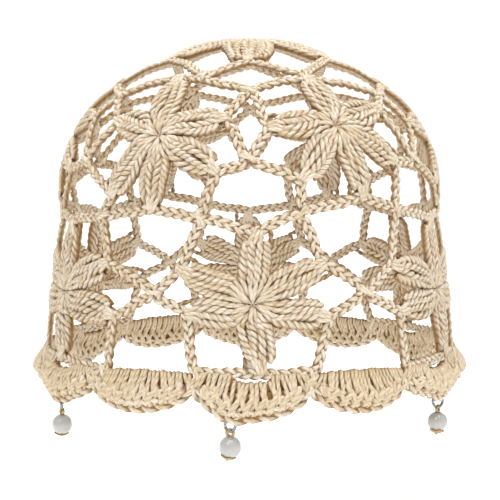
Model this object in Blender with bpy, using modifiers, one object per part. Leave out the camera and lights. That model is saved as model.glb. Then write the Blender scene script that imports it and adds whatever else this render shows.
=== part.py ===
"""Crochet skull cap: joined flower motifs, a shell-stitch edge and six bead drops.

Metres, +Z up.  The front of the cap faces -Y, and an azimuth grows from there towards +X.
The origin is the inside of the crown's top, where the cap sits on the head.
A drop is a length measured from the top of the crown, down along the knit.
"""
import math
from collections import namedtuple

import bmesh
import bpy
import numpy as np
from mathutils import Matrix, Vector

# Crown: a turned form, measured at the middle of the knit
CROWN_RADIUS = 0.0803
BROW_DEPTH = 0.0717
RIM_RADIUS = 0.0873
RIM_DEPTH = 0.1301
SHOULDER_FULLNESS = 2.45
TOP_FULLNESS = 1.75

# Knit
CHAIN_RADIUS = 0.0018
FLOWER_THICKNESS = 0.0030
GAP = 0.0003
JOINT_HALF_LENGTH = 0.0016

# Flowers
PETAL_REACH = 0.0275
PETAL_WIDTH = 0.0134
PETAL_PUFF = 0.0009
THROAT_WIDTH = 0.0166
NOTCH_REACH = 0.0215

# Shell-stitch edge
SHELL_HEIGHT = 0.0150
NOTCH_HEIGHT = 0.0057
SHELL_THICKNESS = 0.0022
SHELL_PUFF = 0.0030
SHELL_TOP_DIP = 0.0013
SHELL_COLUMNS = 8
SHELL_ROWS = 2
SCALLOP_FULLNESS = 0.62
DROP_PULL = 0.0017
DROP_PULL_WIDTH = 0.17

# Bead drops
RING_RADIUS = 0.0023
RING_WIRE = 0.00035
WALL_CROSSING = 0.0014
EDGE_BAR = 0.0011
EYE_RADIUS = 0.0011
PIN_WIRE = 0.0003
PIN_END = 0.0007
EYE_START = -48
EYE_STEPS = 8
BEAD_RADIUS = 0.0040
CAP_RADIUS = 0.0016
CAP_HEIGHT = 0.0010

# Petals of each kind of flower, and of those that were made less evenly: the direction in
# degrees, clockwise from straight up, and the reach as a share of PETAL_REACH
Petal = namedtuple("Petal", "angle reach")
Petals = namedtuple("Petals", "up upper_right lower_right down lower_left upper_left")
PETALS = {
    "top": Petals(Petal(1, 1.52), Petal(60, 1.42), Petal(121, 1.38), Petal(181, 1.50),
                  Petal(239, 1.38), Petal(299, 1.43)),
    "upper": Petals(Petal(-4, 0.98), Petal(66, 0.95), Petal(117, 1.00), Petal(173, 0.99),
                    Petal(226, 1.00), Petal(286, 0.94)),
    "lower": Petals(Petal(2, 0.96), Petal(62, 1.05), Petal(101, 1.08), Petal(171, 1.0),
                    Petal(261, 1.06), Petal(299, 1.05)),
    "upper_1": Petals(Petal(-9, 0.88), Petal(66, 0.95), Petal(117, 1.03), Petal(164, 1.02),
                      Petal(220, 0.95), Petal(272, 0.92)),
    "upper_6": Petals(Petal(-3, 1.08), Petal(69, 0.92), Petal(116, 1.01), Petal(178, 1.00),
                      Petal(221, 1.06), Petal(290, 0.84)),
    "lower_1": Petals(Petal(3, 0.89), Petal(59, 1.08), Petal(99, 1.01), Petal(173, 1.0),
                      Petal(262, 0.84), Petal(296, 1.05)),
    "lower_2": Petals(Petal(2, 0.96), Petal(62, 1.05), Petal(101, 1.05), Petal(171, 1.0),
                      Petal(258, 0.98), Petal(294, 1.14)),
    "lower_6": Petals(Petal(2, 0.96), Petal(63, 1.12), Petal(99, 1.27), Petal(172, 1.0),
                      Petal(261, 1.04), Petal(299, 1.05)),
}

# Drops are shares of the drop from the top of the crown to the rim
Flower = namedtuple("Flower", "name tier azimuth drop")
TOP_FLOWER = Flower("top", "top", 0, 0.040)
UPPER_FLOWERS = (
    Flower("upper_1", "upper", 26.5, 0.475),
    Flower("upper_2", "upper", 85, 0.488),
    Flower("upper_3", "upper", 149, 0.492),
    Flower("upper_4", "upper", 210, 0.486),
    Flower("upper_5", "upper", 276, 0.490),
    Flower("upper_6", "upper", 332.9, 0.499),
)
LOWER_FLOWERS = (
    Flower("lower_1", "lower", 0.8, 0.850),
    Flower("lower_2", "lower", 61.5, 0.843),
    Flower("lower_3", "lower", 120, 0.849),
    Flower("lower_4", "lower", 180, 0.853),
    Flower("lower_5", "lower", 240, 0.847),
    Flower("lower_6", "lower", 299.5, 0.848),
)
TIER_COUNT = len(UPPER_FLOWERS)

# Where neighbours are joined: drops as shares of the drop to the rim, and how far each
# joint of the top ring lies beside its upper flower, as a share of the way to the next joint
HIGH_JOINT_DROP = 0.385
LOW_JOINT_DROP = 0.550
SIDE_JOINT_DROP = 0.830
SIDE_JOINT_TURNS = (0, 0, 1, -1, 0, 5)
TOP_JOINT_SHIFTS = (0.02, 0.10, 0.05, 0.12, 0.04, 0.36)

# A petal from the notches at its sides to its tip: share of that way, half width there as a
# share of what runs from the notch to half of PETAL_WIDTH, and rise as a share of PETAL_PUFF
Station = namedtuple("Station", "way width puff")
PETAL_STATIONS = (Station(0.33, 0.95, 1.0), Station(0.75, 0.62, 0.7))

# How much faster than its petals a larger flower's notches move out and its tips grow blunt
NOTCH_GROWTH = 1.5
BLUNT_GROWTH = 2.0

# Shells of the edge: azimuth of the notch where each starts, how much lower the rim hangs
# there as a share of NOTCH_HEIGHT, how many degrees beside it the chain above has its foot,
# and the shell's height as a share of SHELL_HEIGHT
Shell = namedtuple("Shell", "start sag foot height")
SHELLS = (
    Shell(-13.5, 0.00, 1.0, 1.03), Shell(14.5, 0.06, 0.6, 0.90), Shell(41.5, 0.26, 2.2, 0.84),
    Shell(73, 0.18, 0.4, 0.92), Shell(105, 0.06, -0.8, 0.98), Shell(135, 0.14, 0.5, 0.92),
    Shell(165, 0.00, -0.4, 1.00), Shell(196, 0.07, 0.7, 0.91), Shell(225, 0.17, -0.6, 0.97),
    Shell(255, 0.06, 0.4, 0.92), Shell(287, 0.18, -0.5, 0.90), Shell(318, 0.29, 3.0, 0.89),
)

# Bead drops: the shell that each hangs on, and its place from notch to notch
Drop = namedtuple("Drop", "shell place")
DROPS = (Drop(0, 0.32), Drop(2, 0.46), Drop(4, 0.52), Drop(6, 0.47), Drop(8, 0.50), Drop(10, 0.56))

Finish = namedtuple("Finish", "color roughness metallic")
COTTON = Finish((0.63, 0.49, 0.33, 1), 0.9, 0)
SILVER = Finish((0.80, 0.80, 0.79, 1), 0.2, 1)
BRASS = Finish((0.85, 0.60, 0.25, 1), 0.3, 1)
JADE = Finish((0.72, 0.77, 0.73, 1), 0.15, 0)

TOP_HEIGHT = FLOWER_THICKNESS / 2
BROW_HEIGHT = TOP_HEIGHT - BROW_DEPTH
RIM_HEIGHT = TOP_HEIGHT - RIM_DEPTH
CHAIN_SPACING = 2 * CHAIN_RADIUS + GAP
MITRE = math.cos(math.radians(30))
TIP_SPACING = CHAIN_RADIUS / MITRE + GAP


def crown_radius(height):
    """Radius of the knit at a height: a full dome down to the brow, then a flare."""
    rise = (height - BROW_HEIGHT) / BROW_DEPTH
    if rise > 0:
        return CROWN_RADIUS * max(0.0, 1 - rise ** SHOULDER_FULLNESS) ** (1 / TOP_FULLNESS)
    flare = (RIM_RADIUS - CROWN_RADIUS) / (BROW_HEIGHT - RIM_HEIGHT)
    return CROWN_RADIUS + flare * (BROW_HEIGHT - height)


def trace_meridian():
    """Drops, radii and heights along the knit, from the top to below the shells."""
    steps = 600
    dome = BROW_HEIGHT + BROW_DEPTH * np.sin(np.linspace(math.pi / 2, 0, steps))
    wall = np.linspace(BROW_HEIGHT, RIM_HEIGHT - 2 * SHELL_HEIGHT, steps)[1:]
    heights = np.concatenate([dome, wall])
    radii = np.array([crown_radius(height) for height in heights])
    lengths = np.hypot(np.diff(radii), np.diff(heights))
    return np.concatenate([[0], np.cumsum(lengths)]), radii, heights


DROP_TABLE, RADIUS_TABLE, HEIGHT_TABLE = trace_meridian()
RIM_DROP = float(np.interp(-RIM_HEIGHT, -HEIGHT_TABLE, DROP_TABLE))


def outward(azimuth, drop):
    """Direction that points straight out of the knit."""
    step = CHAIN_RADIUS / 2
    radius = np.interp([drop - step, drop + step], DROP_TABLE, RADIUS_TABLE)
    height = np.interp([drop - step, drop + step], DROP_TABLE, HEIGHT_TABLE)
    side, up = height[0] - height[1], radius[1] - radius[0]
    turn = math.radians(azimuth)
    return Vector((side * math.sin(turn), -side * math.cos(turn), up)).normalized()


def on_crown(azimuth, drop, lift=0.0):
    """Point of the knit at an azimuth and a drop, lifted off its middle."""
    radius = float(np.interp(drop, DROP_TABLE, RADIUS_TABLE))
    height = float(np.interp(drop, DROP_TABLE, HEIGHT_TABLE))
    turn = math.radians(azimuth)
    point = Vector((radius * math.sin(turn), -radius * math.cos(turn), height))
    return point + outward(azimuth, drop) * lift


def crown_place(point):
    """Azimuth and drop of a point that lies on the knit."""
    azimuth = math.degrees(math.atan2(point.x, -point.y))
    return azimuth, float(np.interp(-point.z, -HEIGHT_TABLE, DROP_TABLE))


def snap(point, centre, normal):
    """The point of the knit that is seen through a point from deep under a flower."""
    anchor = centre - normal * CROWN_RADIUS
    low, high, halvings = 0.5, 1.6, 40
    for _ in range(halvings):
        share = (low + high) / 2
        test = anchor + (point - anchor) * share
        below_top = test.z < TOP_HEIGHT
        if below_top and math.hypot(test.x, test.y) < crown_radius(test.z):
            low = share
        else:
            high = share
    return anchor + (point - anchor) * low


class Motif:
    """One flower's frame on the knit, its petal tips and the joints around it."""

    def __init__(self, flower):
        self.flower = flower
        self.name = flower.name
        self.azimuth = flower.azimuth
        self.drop = flower.drop * RIM_DROP
        self.centre = on_crown(self.azimuth, self.drop)
        self.normal = outward(self.azimuth, self.drop)
        turn = math.radians(self.azimuth)
        self.right = Vector((math.cos(turn), math.sin(turn), 0))
        self.up = self.normal.cross(self.right)
        petals = PETALS.get(flower.name, PETALS[flower.tier])
        self.angles = Petals(*(petal.angle for petal in petals))
        self.reaches = [petal.reach * PETAL_REACH for petal in petals]
        self.size = sum(petal.reach for petal in petals) / len(petals)
        self.corners = []

    def spot(self, angle, reach):
        """Point of the knit at a direction and a distance from the flower's centre."""
        turn = math.radians(angle)
        flat = self.right * (reach * math.sin(turn)) + self.up * (reach * math.cos(turn))
        return snap(self.centre + flat, self.centre, self.normal)

    def ring_tips(self):
        """Where the chain ring passes the end of each petal."""
        return [self.spot(angle, reach + TIP_SPACING) for angle, reach in zip(self.angles, self.reaches)]


def fit_down_petal(motif):
    """A lower flower's last petal fits between its centre and the chain along the rim."""
    shell = 2 * LOWER_FLOWERS.index(motif.flower)
    room = rim_drop(shell, 0.5) - motif.drop - CHAIN_RADIUS - GAP - TIP_SPACING
    down = motif.angles._fields.index("down")
    motif.reaches[down] = room / abs(math.cos(math.radians(motif.angles.down)))


def middle(first, second, drop=None, turn=0):
    """Joint between two neighbours: halfway between them, or at a drop of its own."""
    gap = (second.azimuth - first.azimuth + 180) % 360 - 180
    if drop is None:
        drop = (first.drop + second.drop) / 2
    return on_crown(first.azimuth + gap / 2 + turn, drop)


def joint_sides(joint, motif, neighbour, spacing):
    """The two points where a motif's ring runs beside its neighbour's at their joint."""
    azimuth, drop = crown_place(joint)
    normal = outward(azimuth, drop)
    towards = motif.centre - neighbour
    towards = (towards - normal * towards.dot(normal)).normalized()
    along = normal.cross(towards) * JOINT_HALF_LENGTH
    base = joint + towards * spacing
    return base - along, base + along


def upper_corners(index, motifs):
    """Corners of an upper ring, clockwise from the upper right."""
    own = motifs["upper"][index]
    right = motifs["upper"][(index + 1) % TIER_COUNT]
    left = motifs["upper"][index - 1]
    below_right = motifs["lower"][(index + 1) % TIER_COUNT]
    below_left = motifs["lower"][index]
    high, low = HIGH_JOINT_DROP * RIM_DROP, LOW_JOINT_DROP * RIM_DROP
    joints = (
        (middle(own, right, high), right), (middle(own, right, low), right),
        (middle(own, below_right), below_right), (middle(own, below_left), below_left),
        (middle(own, left, low), left), (middle(own, left, high), left),
    )
    return [joint_sides(joint, own, other.centre, CHAIN_SPACING / 2) for joint, other in joints]


def lower_corners(index, motifs):
    """Corners of a lower ring, clockwise from the upper right; two stand on the rim."""
    own = motifs["lower"][index]
    right = motifs["lower"][(index + 1) % TIER_COUNT]
    left = motifs["lower"][index - 1]
    above_right = motifs["upper"][index]
    above_left = motifs["upper"][index - 1]
    side = SIDE_JOINT_DROP * RIM_DROP
    turns = SIDE_JOINT_TURNS[index], SIDE_JOINT_TURNS[index - 1]
    corners = [
        joint_sides(middle(own, above_right), own, above_right.centre, CHAIN_SPACING / 2),
        joint_sides(middle(own, right, side, turns[0]), own, right.centre, CHAIN_SPACING / 2),
    ]
    for notch in (2 * index + 1, 2 * index):
        azimuth = SHELLS[notch].start + SHELLS[notch].foot
        turn = math.radians(azimuth)
        foot = on_crown(azimuth, rim_drop(notch, 0) - CHAIN_RADIUS - GAP)
        across = Vector((math.cos(turn), math.sin(turn), 0)) * JOINT_HALF_LENGTH
        corners.append((foot - across, foot + across))
    corners += [
        joint_sides(middle(own, left, side, turns[1]), own, left.centre, CHAIN_SPACING / 2),
        joint_sides(middle(own, above_left), own, above_left.centre, CHAIN_SPACING / 2),
    ]
    return corners


def top_corners(motifs):
    """Corners of the top ring, clockwise; each lies beside the chain over an upper flower."""
    top = motifs["top"][0]
    corners = []
    for step in range(TIER_COUNT):
        index = (TIER_COUNT // 2 - 1 - step) % TIER_COUNT
        upper = motifs["upper"][index]
        tip = upper.ring_tips()[0]
        joint = tip.lerp(upper.corners[0][0], TOP_JOINT_SHIFTS[index])
        joint = snap(joint, upper.centre, upper.normal)
        corners.append(joint_sides(joint, top, upper.centre, CHAIN_SPACING))
    return corners


def ring_route(motif):
    """Closed route of a chain ring: past each petal tip, out to each corner and back."""
    tips = motif.ring_tips()
    route = []
    for index, tip in enumerate(tips):
        following = tips[(index + 1) % len(tips)]
        first, second = motif.corners[index]
        if (second - first).dot(following - tip) < 0:
            first, second = second, first
        halfway_out, halfway_back = (tip + first) / 2, (second + following) / 2
        route += [tip, snap(halfway_out, motif.centre, motif.normal), first, second]
        route.append(snap(halfway_back, motif.centre, motif.normal))
    return route


def material(name, finish):
    """Principled material of one sub-part."""
    made = bpy.data.materials.new(name)
    made.use_nodes = True
    shader = made.node_tree.nodes["Principled BSDF"]
    shader.inputs["Base Color"].default_value = finish.color
    shader.inputs["Roughness"].default_value = finish.roughness
    shader.inputs["Metallic"].default_value = finish.metallic
    made.diffuse_color = finish.color
    return made


def add_object(name, data, finish, home):
    """Object with its own material, in the collection that holds the cap."""
    made = bpy.data.objects.new(name, data)
    home.objects.link(made)
    if finish:
        data.materials.append(material(name, finish))
    return made


def add_tube(name, points, radius, finish, home, closed=False):
    """Tube of six sides along points, with filled ends where it is open."""
    curve = bpy.data.curves.new(name, "CURVE")
    curve.dimensions = "3D"
    curve.bevel_depth = radius
    curve.bevel_resolution = 1
    curve.use_fill_caps = not closed
    spline = curve.splines.new("POLY")
    spline.points.add(len(points) - 1)
    for place, point in zip(spline.points, points):
        place.co = (*point, 1)
    spline.use_cyclic_u = closed
    return add_object(name, curve, finish, home)


def add_sheet(name, mesh_builder, thickness, finish, home):
    """Open surface given an even thickness on both sides of its middle."""
    mesh = bpy.data.meshes.new(name)
    shape = bmesh.new()
    mesh_builder(shape)
    bmesh.ops.recalc_face_normals(shape, faces=shape.faces)
    shape.to_mesh(mesh)
    shape.free()
    mesh.shade_smooth()
    made = add_object(name, mesh, finish, home)
    solid = made.modifiers.new("thickness", "SOLIDIFY")
    solid.thickness = thickness
    solid.offset = 0
    solid.use_even_offset = True
    return made


def notch_reach(opening, size):
    """Where two petals part, which is further out the closer they lie to one another."""
    half_opening = math.radians(opening / 2)
    reach = 1 / math.hypot(1 / NOTCH_REACH, math.sin(half_opening) / (THROAT_WIDTH / 2))
    return reach * size ** NOTCH_GROWTH


def petal_side(reach, opening, size):
    """Distances out and half widths of a petal's side, from its notch almost to its tip."""
    notch, half_opening = notch_reach(opening, size), math.radians(opening / 2)
    out, half = notch * math.cos(half_opening), notch * math.sin(half_opening)
    line = []
    for station in PETAL_STATIONS:
        width = half + (size * PETAL_WIDTH / 2 - half) * station.way
        narrowing = station.width ** (1 / size ** BLUNT_GROWTH)
        line.append((out + (reach - out) * station.way, width * narrowing))
    return line


def flower_sheet(motif, shape):
    """Middle surface of a flower: six pointed petals that meet in the centre."""
    centre = shape.verts.new(on_crown(motif.azimuth, motif.drop))
    count = len(motif.angles)
    openings = [(motif.angles[(index + 1) % count] - motif.angles[index]) % 360 for index in range(count)]
    throats = []
    for angle, opening in zip(motif.angles, openings):
        throats.append(shape.verts.new(motif.spot(angle + opening / 2, notch_reach(opening, motif.size))))
    for index, (angle, reach) in enumerate(zip(motif.angles, motif.reaches)):
        left, spine, right = throats[index - 1], centre, throats[index]
        left_line = petal_side(reach, openings[index - 1], motif.size)
        right_line = petal_side(reach, openings[index], motif.size)
        for station, left_side, right_side in zip(PETAL_STATIONS, left_line, right_line):
            corners = []
            for turn, (out, half) in ((-1, left_side), (1, right_side)):
                lean = math.degrees(math.atan2(half, out))
                corners.append(shape.verts.new(motif.spot(angle + turn * lean, math.hypot(out, half))))
            new_left, new_right = corners
            azimuth, drop = crown_place(motif.spot(angle, (left_side[0] + right_side[0]) / 2))
            new_spine = shape.verts.new(on_crown(azimuth, drop, PETAL_PUFF * station.puff))
            shape.faces.new((spine, left, new_left, new_spine))
            shape.faces.new((spine, new_spine, new_right, right))
            left, spine, right = new_left, new_spine, new_right
        tip = shape.verts.new(motif.spot(angle, reach))
        shape.faces.new((spine, left, tip))
        shape.faces.new((spine, tip, right))


def rim_drop(index, place):
    """Drop of the rim over a shell, at a place from notch to notch."""
    sags = SHELLS[index].sag, SHELLS[(index + 1) % len(SHELLS)].sag
    return RIM_DROP + NOTCH_HEIGHT * (sags[0] + (sags[1] - sags[0]) * place)


def shell_point(index, place, depth):
    """Point of a shell: its place from notch to notch, and its depth from top to edge."""
    start = SHELLS[index].start
    width = (SHELLS[(index + 1) % len(SHELLS)].start - start) % 360
    half_gap = math.degrees(GAP / 2 / RIM_RADIUS)
    azimuth = start + half_gap + (width - 2 * half_gap) * place
    bow = math.sin(math.pi * place)
    under_flower = index % 2 == 0
    rim = rim_drop(index, place)
    top = rim + (SHELL_TOP_DIP * bow ** 2 if under_flower else 0)
    height = SHELL_HEIGHT * SHELLS[index].height
    bottom = rim + NOTCH_HEIGHT + (height - NOTCH_HEIGHT) * bow ** SCALLOP_FULLNESS
    for drop in DROPS:
        if drop.shell == index:
            bottom += DROP_PULL * max(0, 1 - ((place - drop.place) / DROP_PULL_WIDTH) ** 2)
    puff = SHELL_PUFF * math.sin(math.pi * depth) * bow
    return on_crown(azimuth, top + (bottom - top) * depth, puff)


def shell_sheet(index, shape):
    """Middle surface of one shell of the edge."""
    grid = []
    for column in range(SHELL_COLUMNS + 1):
        line = []
        for row in range(SHELL_ROWS + 1):
            line.append(shape.verts.new(shell_point(index, column / SHELL_COLUMNS, row / SHELL_ROWS)))
        grid.append(line)
    for first, second in zip(grid, grid[1:]):
        for row in range(SHELL_ROWS):
            shape.faces.new((first[row], first[row + 1], second[row + 1], second[row]))


def drop_frame(drop):
    """Hole of a bead drop in its shell's edge, the directions out and sideways, and the
    height by which the ring falls while it crosses the wall."""
    edge = shell_point(drop.shell, drop.place, 1)
    above = shell_point(drop.shell, drop.place, 1 - 1 / SHELL_ROWS)
    out = Vector((edge.x, edge.y, 0)).normalized()
    side = Vector((-out.y, out.x, 0))
    fall = RING_RADIUS - math.sqrt(RING_RADIUS ** 2 - WALL_CROSSING ** 2)
    rise = EDGE_BAR + RING_WIRE + GAP + fall
    hole = edge.lerp(above, rise / (above - edge).length)
    return hole, out, side, fall


def add_cutter(name, size, matrix, home):
    """Box that cuts a hole and isn't part of the cap."""
    mesh = bpy.data.meshes.new(name)
    shape = bmesh.new()
    bmesh.ops.create_cube(shape, size=1.0, matrix=Matrix.Diagonal((*size, 1)))
    shape.to_mesh(mesh)
    shape.free()
    made = add_object(name, mesh, None, home)
    made.matrix_world = matrix
    made.hide_render = True
    made.display_type = "WIRE"
    return made


def frame_matrix(origin, first, second, third):
    """Placement whose X, Y and Z axes are the three directions."""
    turned = Matrix((first, second, third)).transposed().to_4x4()
    return Matrix.Translation(origin) @ turned


def pierce_shell(shell, drop, number, cutters):
    """Cut the hole through which the jump ring passes."""
    hole, out, side, fall = drop_frame(drop)
    half_height = RING_WIRE + GAP + fall / 2
    centre = hole - Vector((0, 0, fall / 2))
    right_through = 3 * SHELL_THICKNESS
    size = (2 * (RING_WIRE + GAP), right_through, 2 * half_height)
    matrix = frame_matrix(centre, side, out, Vector((0, 0, 1)))
    cutter = add_cutter(f"cutter_{number}", size, matrix, cutters)
    cut = shell.modifiers.new("ring hole", "BOOLEAN")
    cut.operation = "DIFFERENCE"
    cut.object = cutter


def add_jump_ring(name, hole, out, home):
    """Wire ring that hangs in the shell's edge, in the plane that points outwards."""
    sides, wire_sides = 12, 5
    mesh = bpy.data.meshes.new(name)
    shape = bmesh.new()
    bmesh.ops.create_circle(shape, segments=wire_sides, radius=RING_WIRE)
    shape.to_mesh(mesh)
    shape.free()
    made = add_object(name, mesh, SILVER, home)
    profile = Matrix.Translation((RING_RADIUS, 0, 0)) @ Matrix.Rotation(math.pi / 2, 4, "X")
    mesh.transform(profile)
    turn = made.modifiers.new("turn", "SCREW")
    turn.steps = sides
    turn.render_steps = sides
    turn.axis = "Z"
    turn.use_merge_vertices = True
    turn.merge_threshold = 0.00001
    side = out.cross(Vector((0, 0, 1)))
    made.matrix_world = frame_matrix(hole - Vector((0, 0, RING_RADIUS)), out, Vector((0, 0, 1)), side)
    return made


def pin_heights(hole):
    """Heights that the pin, its eye, the bead and its cap take from the jump ring."""
    ring_bottom = hole.z - 2 * RING_RADIUS
    eye = ring_bottom + RING_WIRE + PIN_WIRE + GAP - EYE_RADIUS
    bead_top = eye - EYE_RADIUS - PIN_WIRE - GAP
    bore = PIN_WIRE + GAP
    half_bead = math.sqrt(BEAD_RADIUS ** 2 - bore ** 2)
    bead = bead_top - half_bead
    cap_top = bead - half_bead - GAP
    return eye, bead, cap_top


def add_pin(name, hole, side, home, cutters):
    """Head pin: a bent eye, a straight shank through the bead, and a small cup below it."""
    eye, _, cap_top = pin_heights(hole)
    points = []
    for step in range(EYE_STEPS):
        angle = math.radians(EYE_START + step * (270 - EYE_START) / EYE_STEPS)
        flat = side * (EYE_RADIUS * math.cos(angle))
        points.append(Vector((hole.x, hole.y, eye + EYE_RADIUS * math.sin(angle))) + flat)
    points.append(Vector((hole.x, hole.y, eye - EYE_RADIUS)))
    points.append(Vector((hole.x, hole.y, cap_top - CAP_HEIGHT - PIN_END)))
    wire = add_tube(name, points, PIN_WIRE, BRASS, home)
    made = as_mesh(wire, home)
    cup = bpy.data.meshes.new(f"{name}_cup")
    cup_sides = 8
    shape = bmesh.new()
    bmesh.ops.create_cone(shape, cap_ends=True, segments=cup_sides, radius1=2 * PIN_WIRE,
                          radius2=CAP_RADIUS, depth=CAP_HEIGHT)
    shape.to_mesh(cup)
    shape.free()
    joined = add_object(f"{name}_cup", cup, None, cutters)
    joined.location = (hole.x, hole.y, cap_top - CAP_HEIGHT / 2)
    joined.hide_render = True
    joined.display_type = "WIRE"
    union = made.modifiers.new("cup", "BOOLEAN")
    union.operation = "UNION"
    union.object = joined
    return made


def as_mesh(wire, home):
    """Mesh with welded caps in place of a tube."""
    bpy.context.view_layer.update()
    evaluated = wire.evaluated_get(bpy.context.evaluated_depsgraph_get())
    mesh = bpy.data.meshes.new_from_object(evaluated)
    shape = bmesh.new()
    shape.from_mesh(mesh)
    bmesh.ops.remove_doubles(shape, verts=shape.verts, dist=0.000001)
    shape.to_mesh(mesh)
    shape.free()
    name, placement = wire.name, wire.matrix_world.copy()
    bpy.data.objects.remove(wire)
    made = bpy.data.objects.new(name, mesh)
    home.objects.link(made)
    made.matrix_world = placement
    return made


def add_bead(name, hole, home):
    """Round drilled bead, turned from half of its section."""
    _, height, _ = pin_heights(hole)
    bore = PIN_WIRE + GAP
    start = math.acos(bore / BEAD_RADIUS)
    arc_steps, sides = 6, 12
    mesh = bpy.data.meshes.new(name)
    shape = bmesh.new()
    line = []
    for step in range(arc_steps + 1):
        angle = start * (1 - 2 * step / arc_steps)
        line.append(shape.verts.new((BEAD_RADIUS * math.cos(angle), 0, BEAD_RADIUS * math.sin(angle))))
    for first, second in zip(line, line[1:] + line[:1]):
        shape.edges.new((first, second))
    shape.to_mesh(mesh)
    shape.free()
    made = add_object(name, mesh, JADE, home)
    turn = made.modifiers.new("turn", "SCREW")
    turn.steps = sides
    turn.render_steps = sides
    turn.axis = "Z"
    turn.use_merge_vertices = True
    turn.merge_threshold = 0.00001
    made.location = (hole.x, hole.y, height)
    return made


def lay_out_motifs():
    """All motifs with their corners, found from their neighbours."""
    motifs = {
        "top": [Motif(TOP_FLOWER)],
        "upper": [Motif(flower) for flower in UPPER_FLOWERS],
        "lower": [Motif(flower) for flower in LOWER_FLOWERS],
    }
    for motif in motifs["lower"]:
        fit_down_petal(motif)
    for index in range(TIER_COUNT):
        motifs["upper"][index].corners = upper_corners(index, motifs)
        motifs["lower"][index].corners = lower_corners(index, motifs)
    motifs["top"][0].corners = top_corners(motifs)
    return motifs


def build():
    """Model the cap from its sizes and tables."""
    for old in list(bpy.data.objects):
        bpy.data.objects.remove(old)
    home = bpy.data.collections.new("crochet skull cap")
    cutters = bpy.data.collections.new("cutters")
    bpy.context.scene.collection.children.link(home)
    bpy.context.scene.collection.children.link(cutters)

    for tier in lay_out_motifs().values():
        for motif in tier:
            add_sheet(f"flower_{motif.name}", lambda shape, own=motif: flower_sheet(own, shape),
                      FLOWER_THICKNESS, COTTON, home)
            add_tube(f"chain_{motif.name}", ring_route(motif), CHAIN_RADIUS, COTTON, home, closed=True)

    shells = []
    for index in range(len(SHELLS)):
        shells.append(add_sheet(f"shell_{index + 1}", lambda shape, own=index: shell_sheet(own, shape),
                                SHELL_THICKNESS, COTTON, home))

    for number, drop in enumerate(DROPS, 1):
        hole, out, side, _ = drop_frame(drop)
        pierce_shell(shells[drop.shell], drop, number, cutters)
        add_jump_ring(f"jump_ring_{number}", hole, out, home)
        add_pin(f"head_pin_{number}", hole, side, home, cutters)
        add_bead(f"bead_{number}", hole, home)


build()
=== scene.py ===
"""Looks of the crochet skull cap: plied cotton yarn stitch by stitch, wire and stone drops.

The cap hangs in the frame as it is worn: +Z is up, its front faces -Y and an azimuth grows
from there towards +X. A drop is a length down along the knit from the crown's top, and a bead
drop is a jump ring with a bead on its pin. Lengths are in metres. Angles are in degrees, and in
radians only where a comment says so.
"""
import math
from collections import namedtuple

import bmesh
import bpy
import numpy as np
from mathutils import Matrix, Vector


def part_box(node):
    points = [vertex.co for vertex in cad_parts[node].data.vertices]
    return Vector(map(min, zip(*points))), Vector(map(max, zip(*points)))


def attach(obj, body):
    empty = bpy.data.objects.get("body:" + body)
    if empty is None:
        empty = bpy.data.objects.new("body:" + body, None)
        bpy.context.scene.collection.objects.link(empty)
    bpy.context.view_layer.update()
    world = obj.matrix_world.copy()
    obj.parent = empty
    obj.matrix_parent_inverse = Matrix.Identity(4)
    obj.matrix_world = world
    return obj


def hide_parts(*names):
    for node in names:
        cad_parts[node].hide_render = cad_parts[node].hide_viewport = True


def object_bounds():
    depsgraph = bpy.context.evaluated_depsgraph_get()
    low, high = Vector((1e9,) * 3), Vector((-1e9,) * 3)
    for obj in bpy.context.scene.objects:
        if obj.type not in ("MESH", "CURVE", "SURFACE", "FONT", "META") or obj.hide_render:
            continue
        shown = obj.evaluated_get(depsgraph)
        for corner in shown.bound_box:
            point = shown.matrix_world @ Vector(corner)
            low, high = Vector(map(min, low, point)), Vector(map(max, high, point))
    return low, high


bl_info = {
    "name": "Crochet skull cap",
    "version": (1, 0, 0),
    "blender": (4, 5, 0),
    "location": "3D View > Sidebar > Crochet cap",
    "description": "Crochets the cap's flowers, chains and shell edge, and hangs its bead drops",
    "category": "Object",
}

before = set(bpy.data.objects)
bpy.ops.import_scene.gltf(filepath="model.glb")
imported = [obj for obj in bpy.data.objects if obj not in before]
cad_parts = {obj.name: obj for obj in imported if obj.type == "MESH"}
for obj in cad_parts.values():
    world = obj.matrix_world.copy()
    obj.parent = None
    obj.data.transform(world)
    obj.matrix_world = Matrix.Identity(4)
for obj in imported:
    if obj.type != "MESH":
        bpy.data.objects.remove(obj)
CAD_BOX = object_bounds()
BODY = "root"
COTTON = "undyed plied cotton yarn"
UP = np.array([0, 0, 1])

# Crown: a turned form, measured at the middle of the knit
CROWN_RADIUS = 0.0803
BROW_DEPTH = 0.0717
RIM_RADIUS = 0.0873
RIM_DEPTH = 0.1301
SHOULDER_FULLNESS = 2.45
TOP_FULLNESS = 1.75
TOP_HEIGHT = 0.0015
BROW_HEIGHT = TOP_HEIGHT - BROW_DEPTH
RIM_HEIGHT = TOP_HEIGHT - RIM_DEPTH

# Knit: the chains, the room between them, and a petal of an average flower
CHAIN_RADIUS = 0.0018
GAP = 0.0003
JOINT_HALF_LENGTH = 0.0016
CHAIN_SPACING = 0.0032
TIP_SPACING = CHAIN_RADIUS / math.cos(math.radians(30)) + GAP
PETAL_REACH = 0.0275
PETAL_WIDTH = 0.0134
PETAL_PUFF = 0.0009
THROAT_WIDTH = 0.0166
NOTCH_REACH = 0.0215

# Shell-stitch edge: its height, less at the notches between shells, and how far it bulges out.
# DROP_PULL is how far a bead drop pulls its shell down, over that share of its width.
SHELL_HEIGHT = 0.0150
NOTCH_HEIGHT = 0.0057
SHELL_PUFF = 0.0030
SHELL_TOP_DIP = 0.0013
SCALLOP_FULLNESS = 0.62
DROP_PULL = 0.0017
DROP_PULL_WIDTH = 0.17

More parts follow.
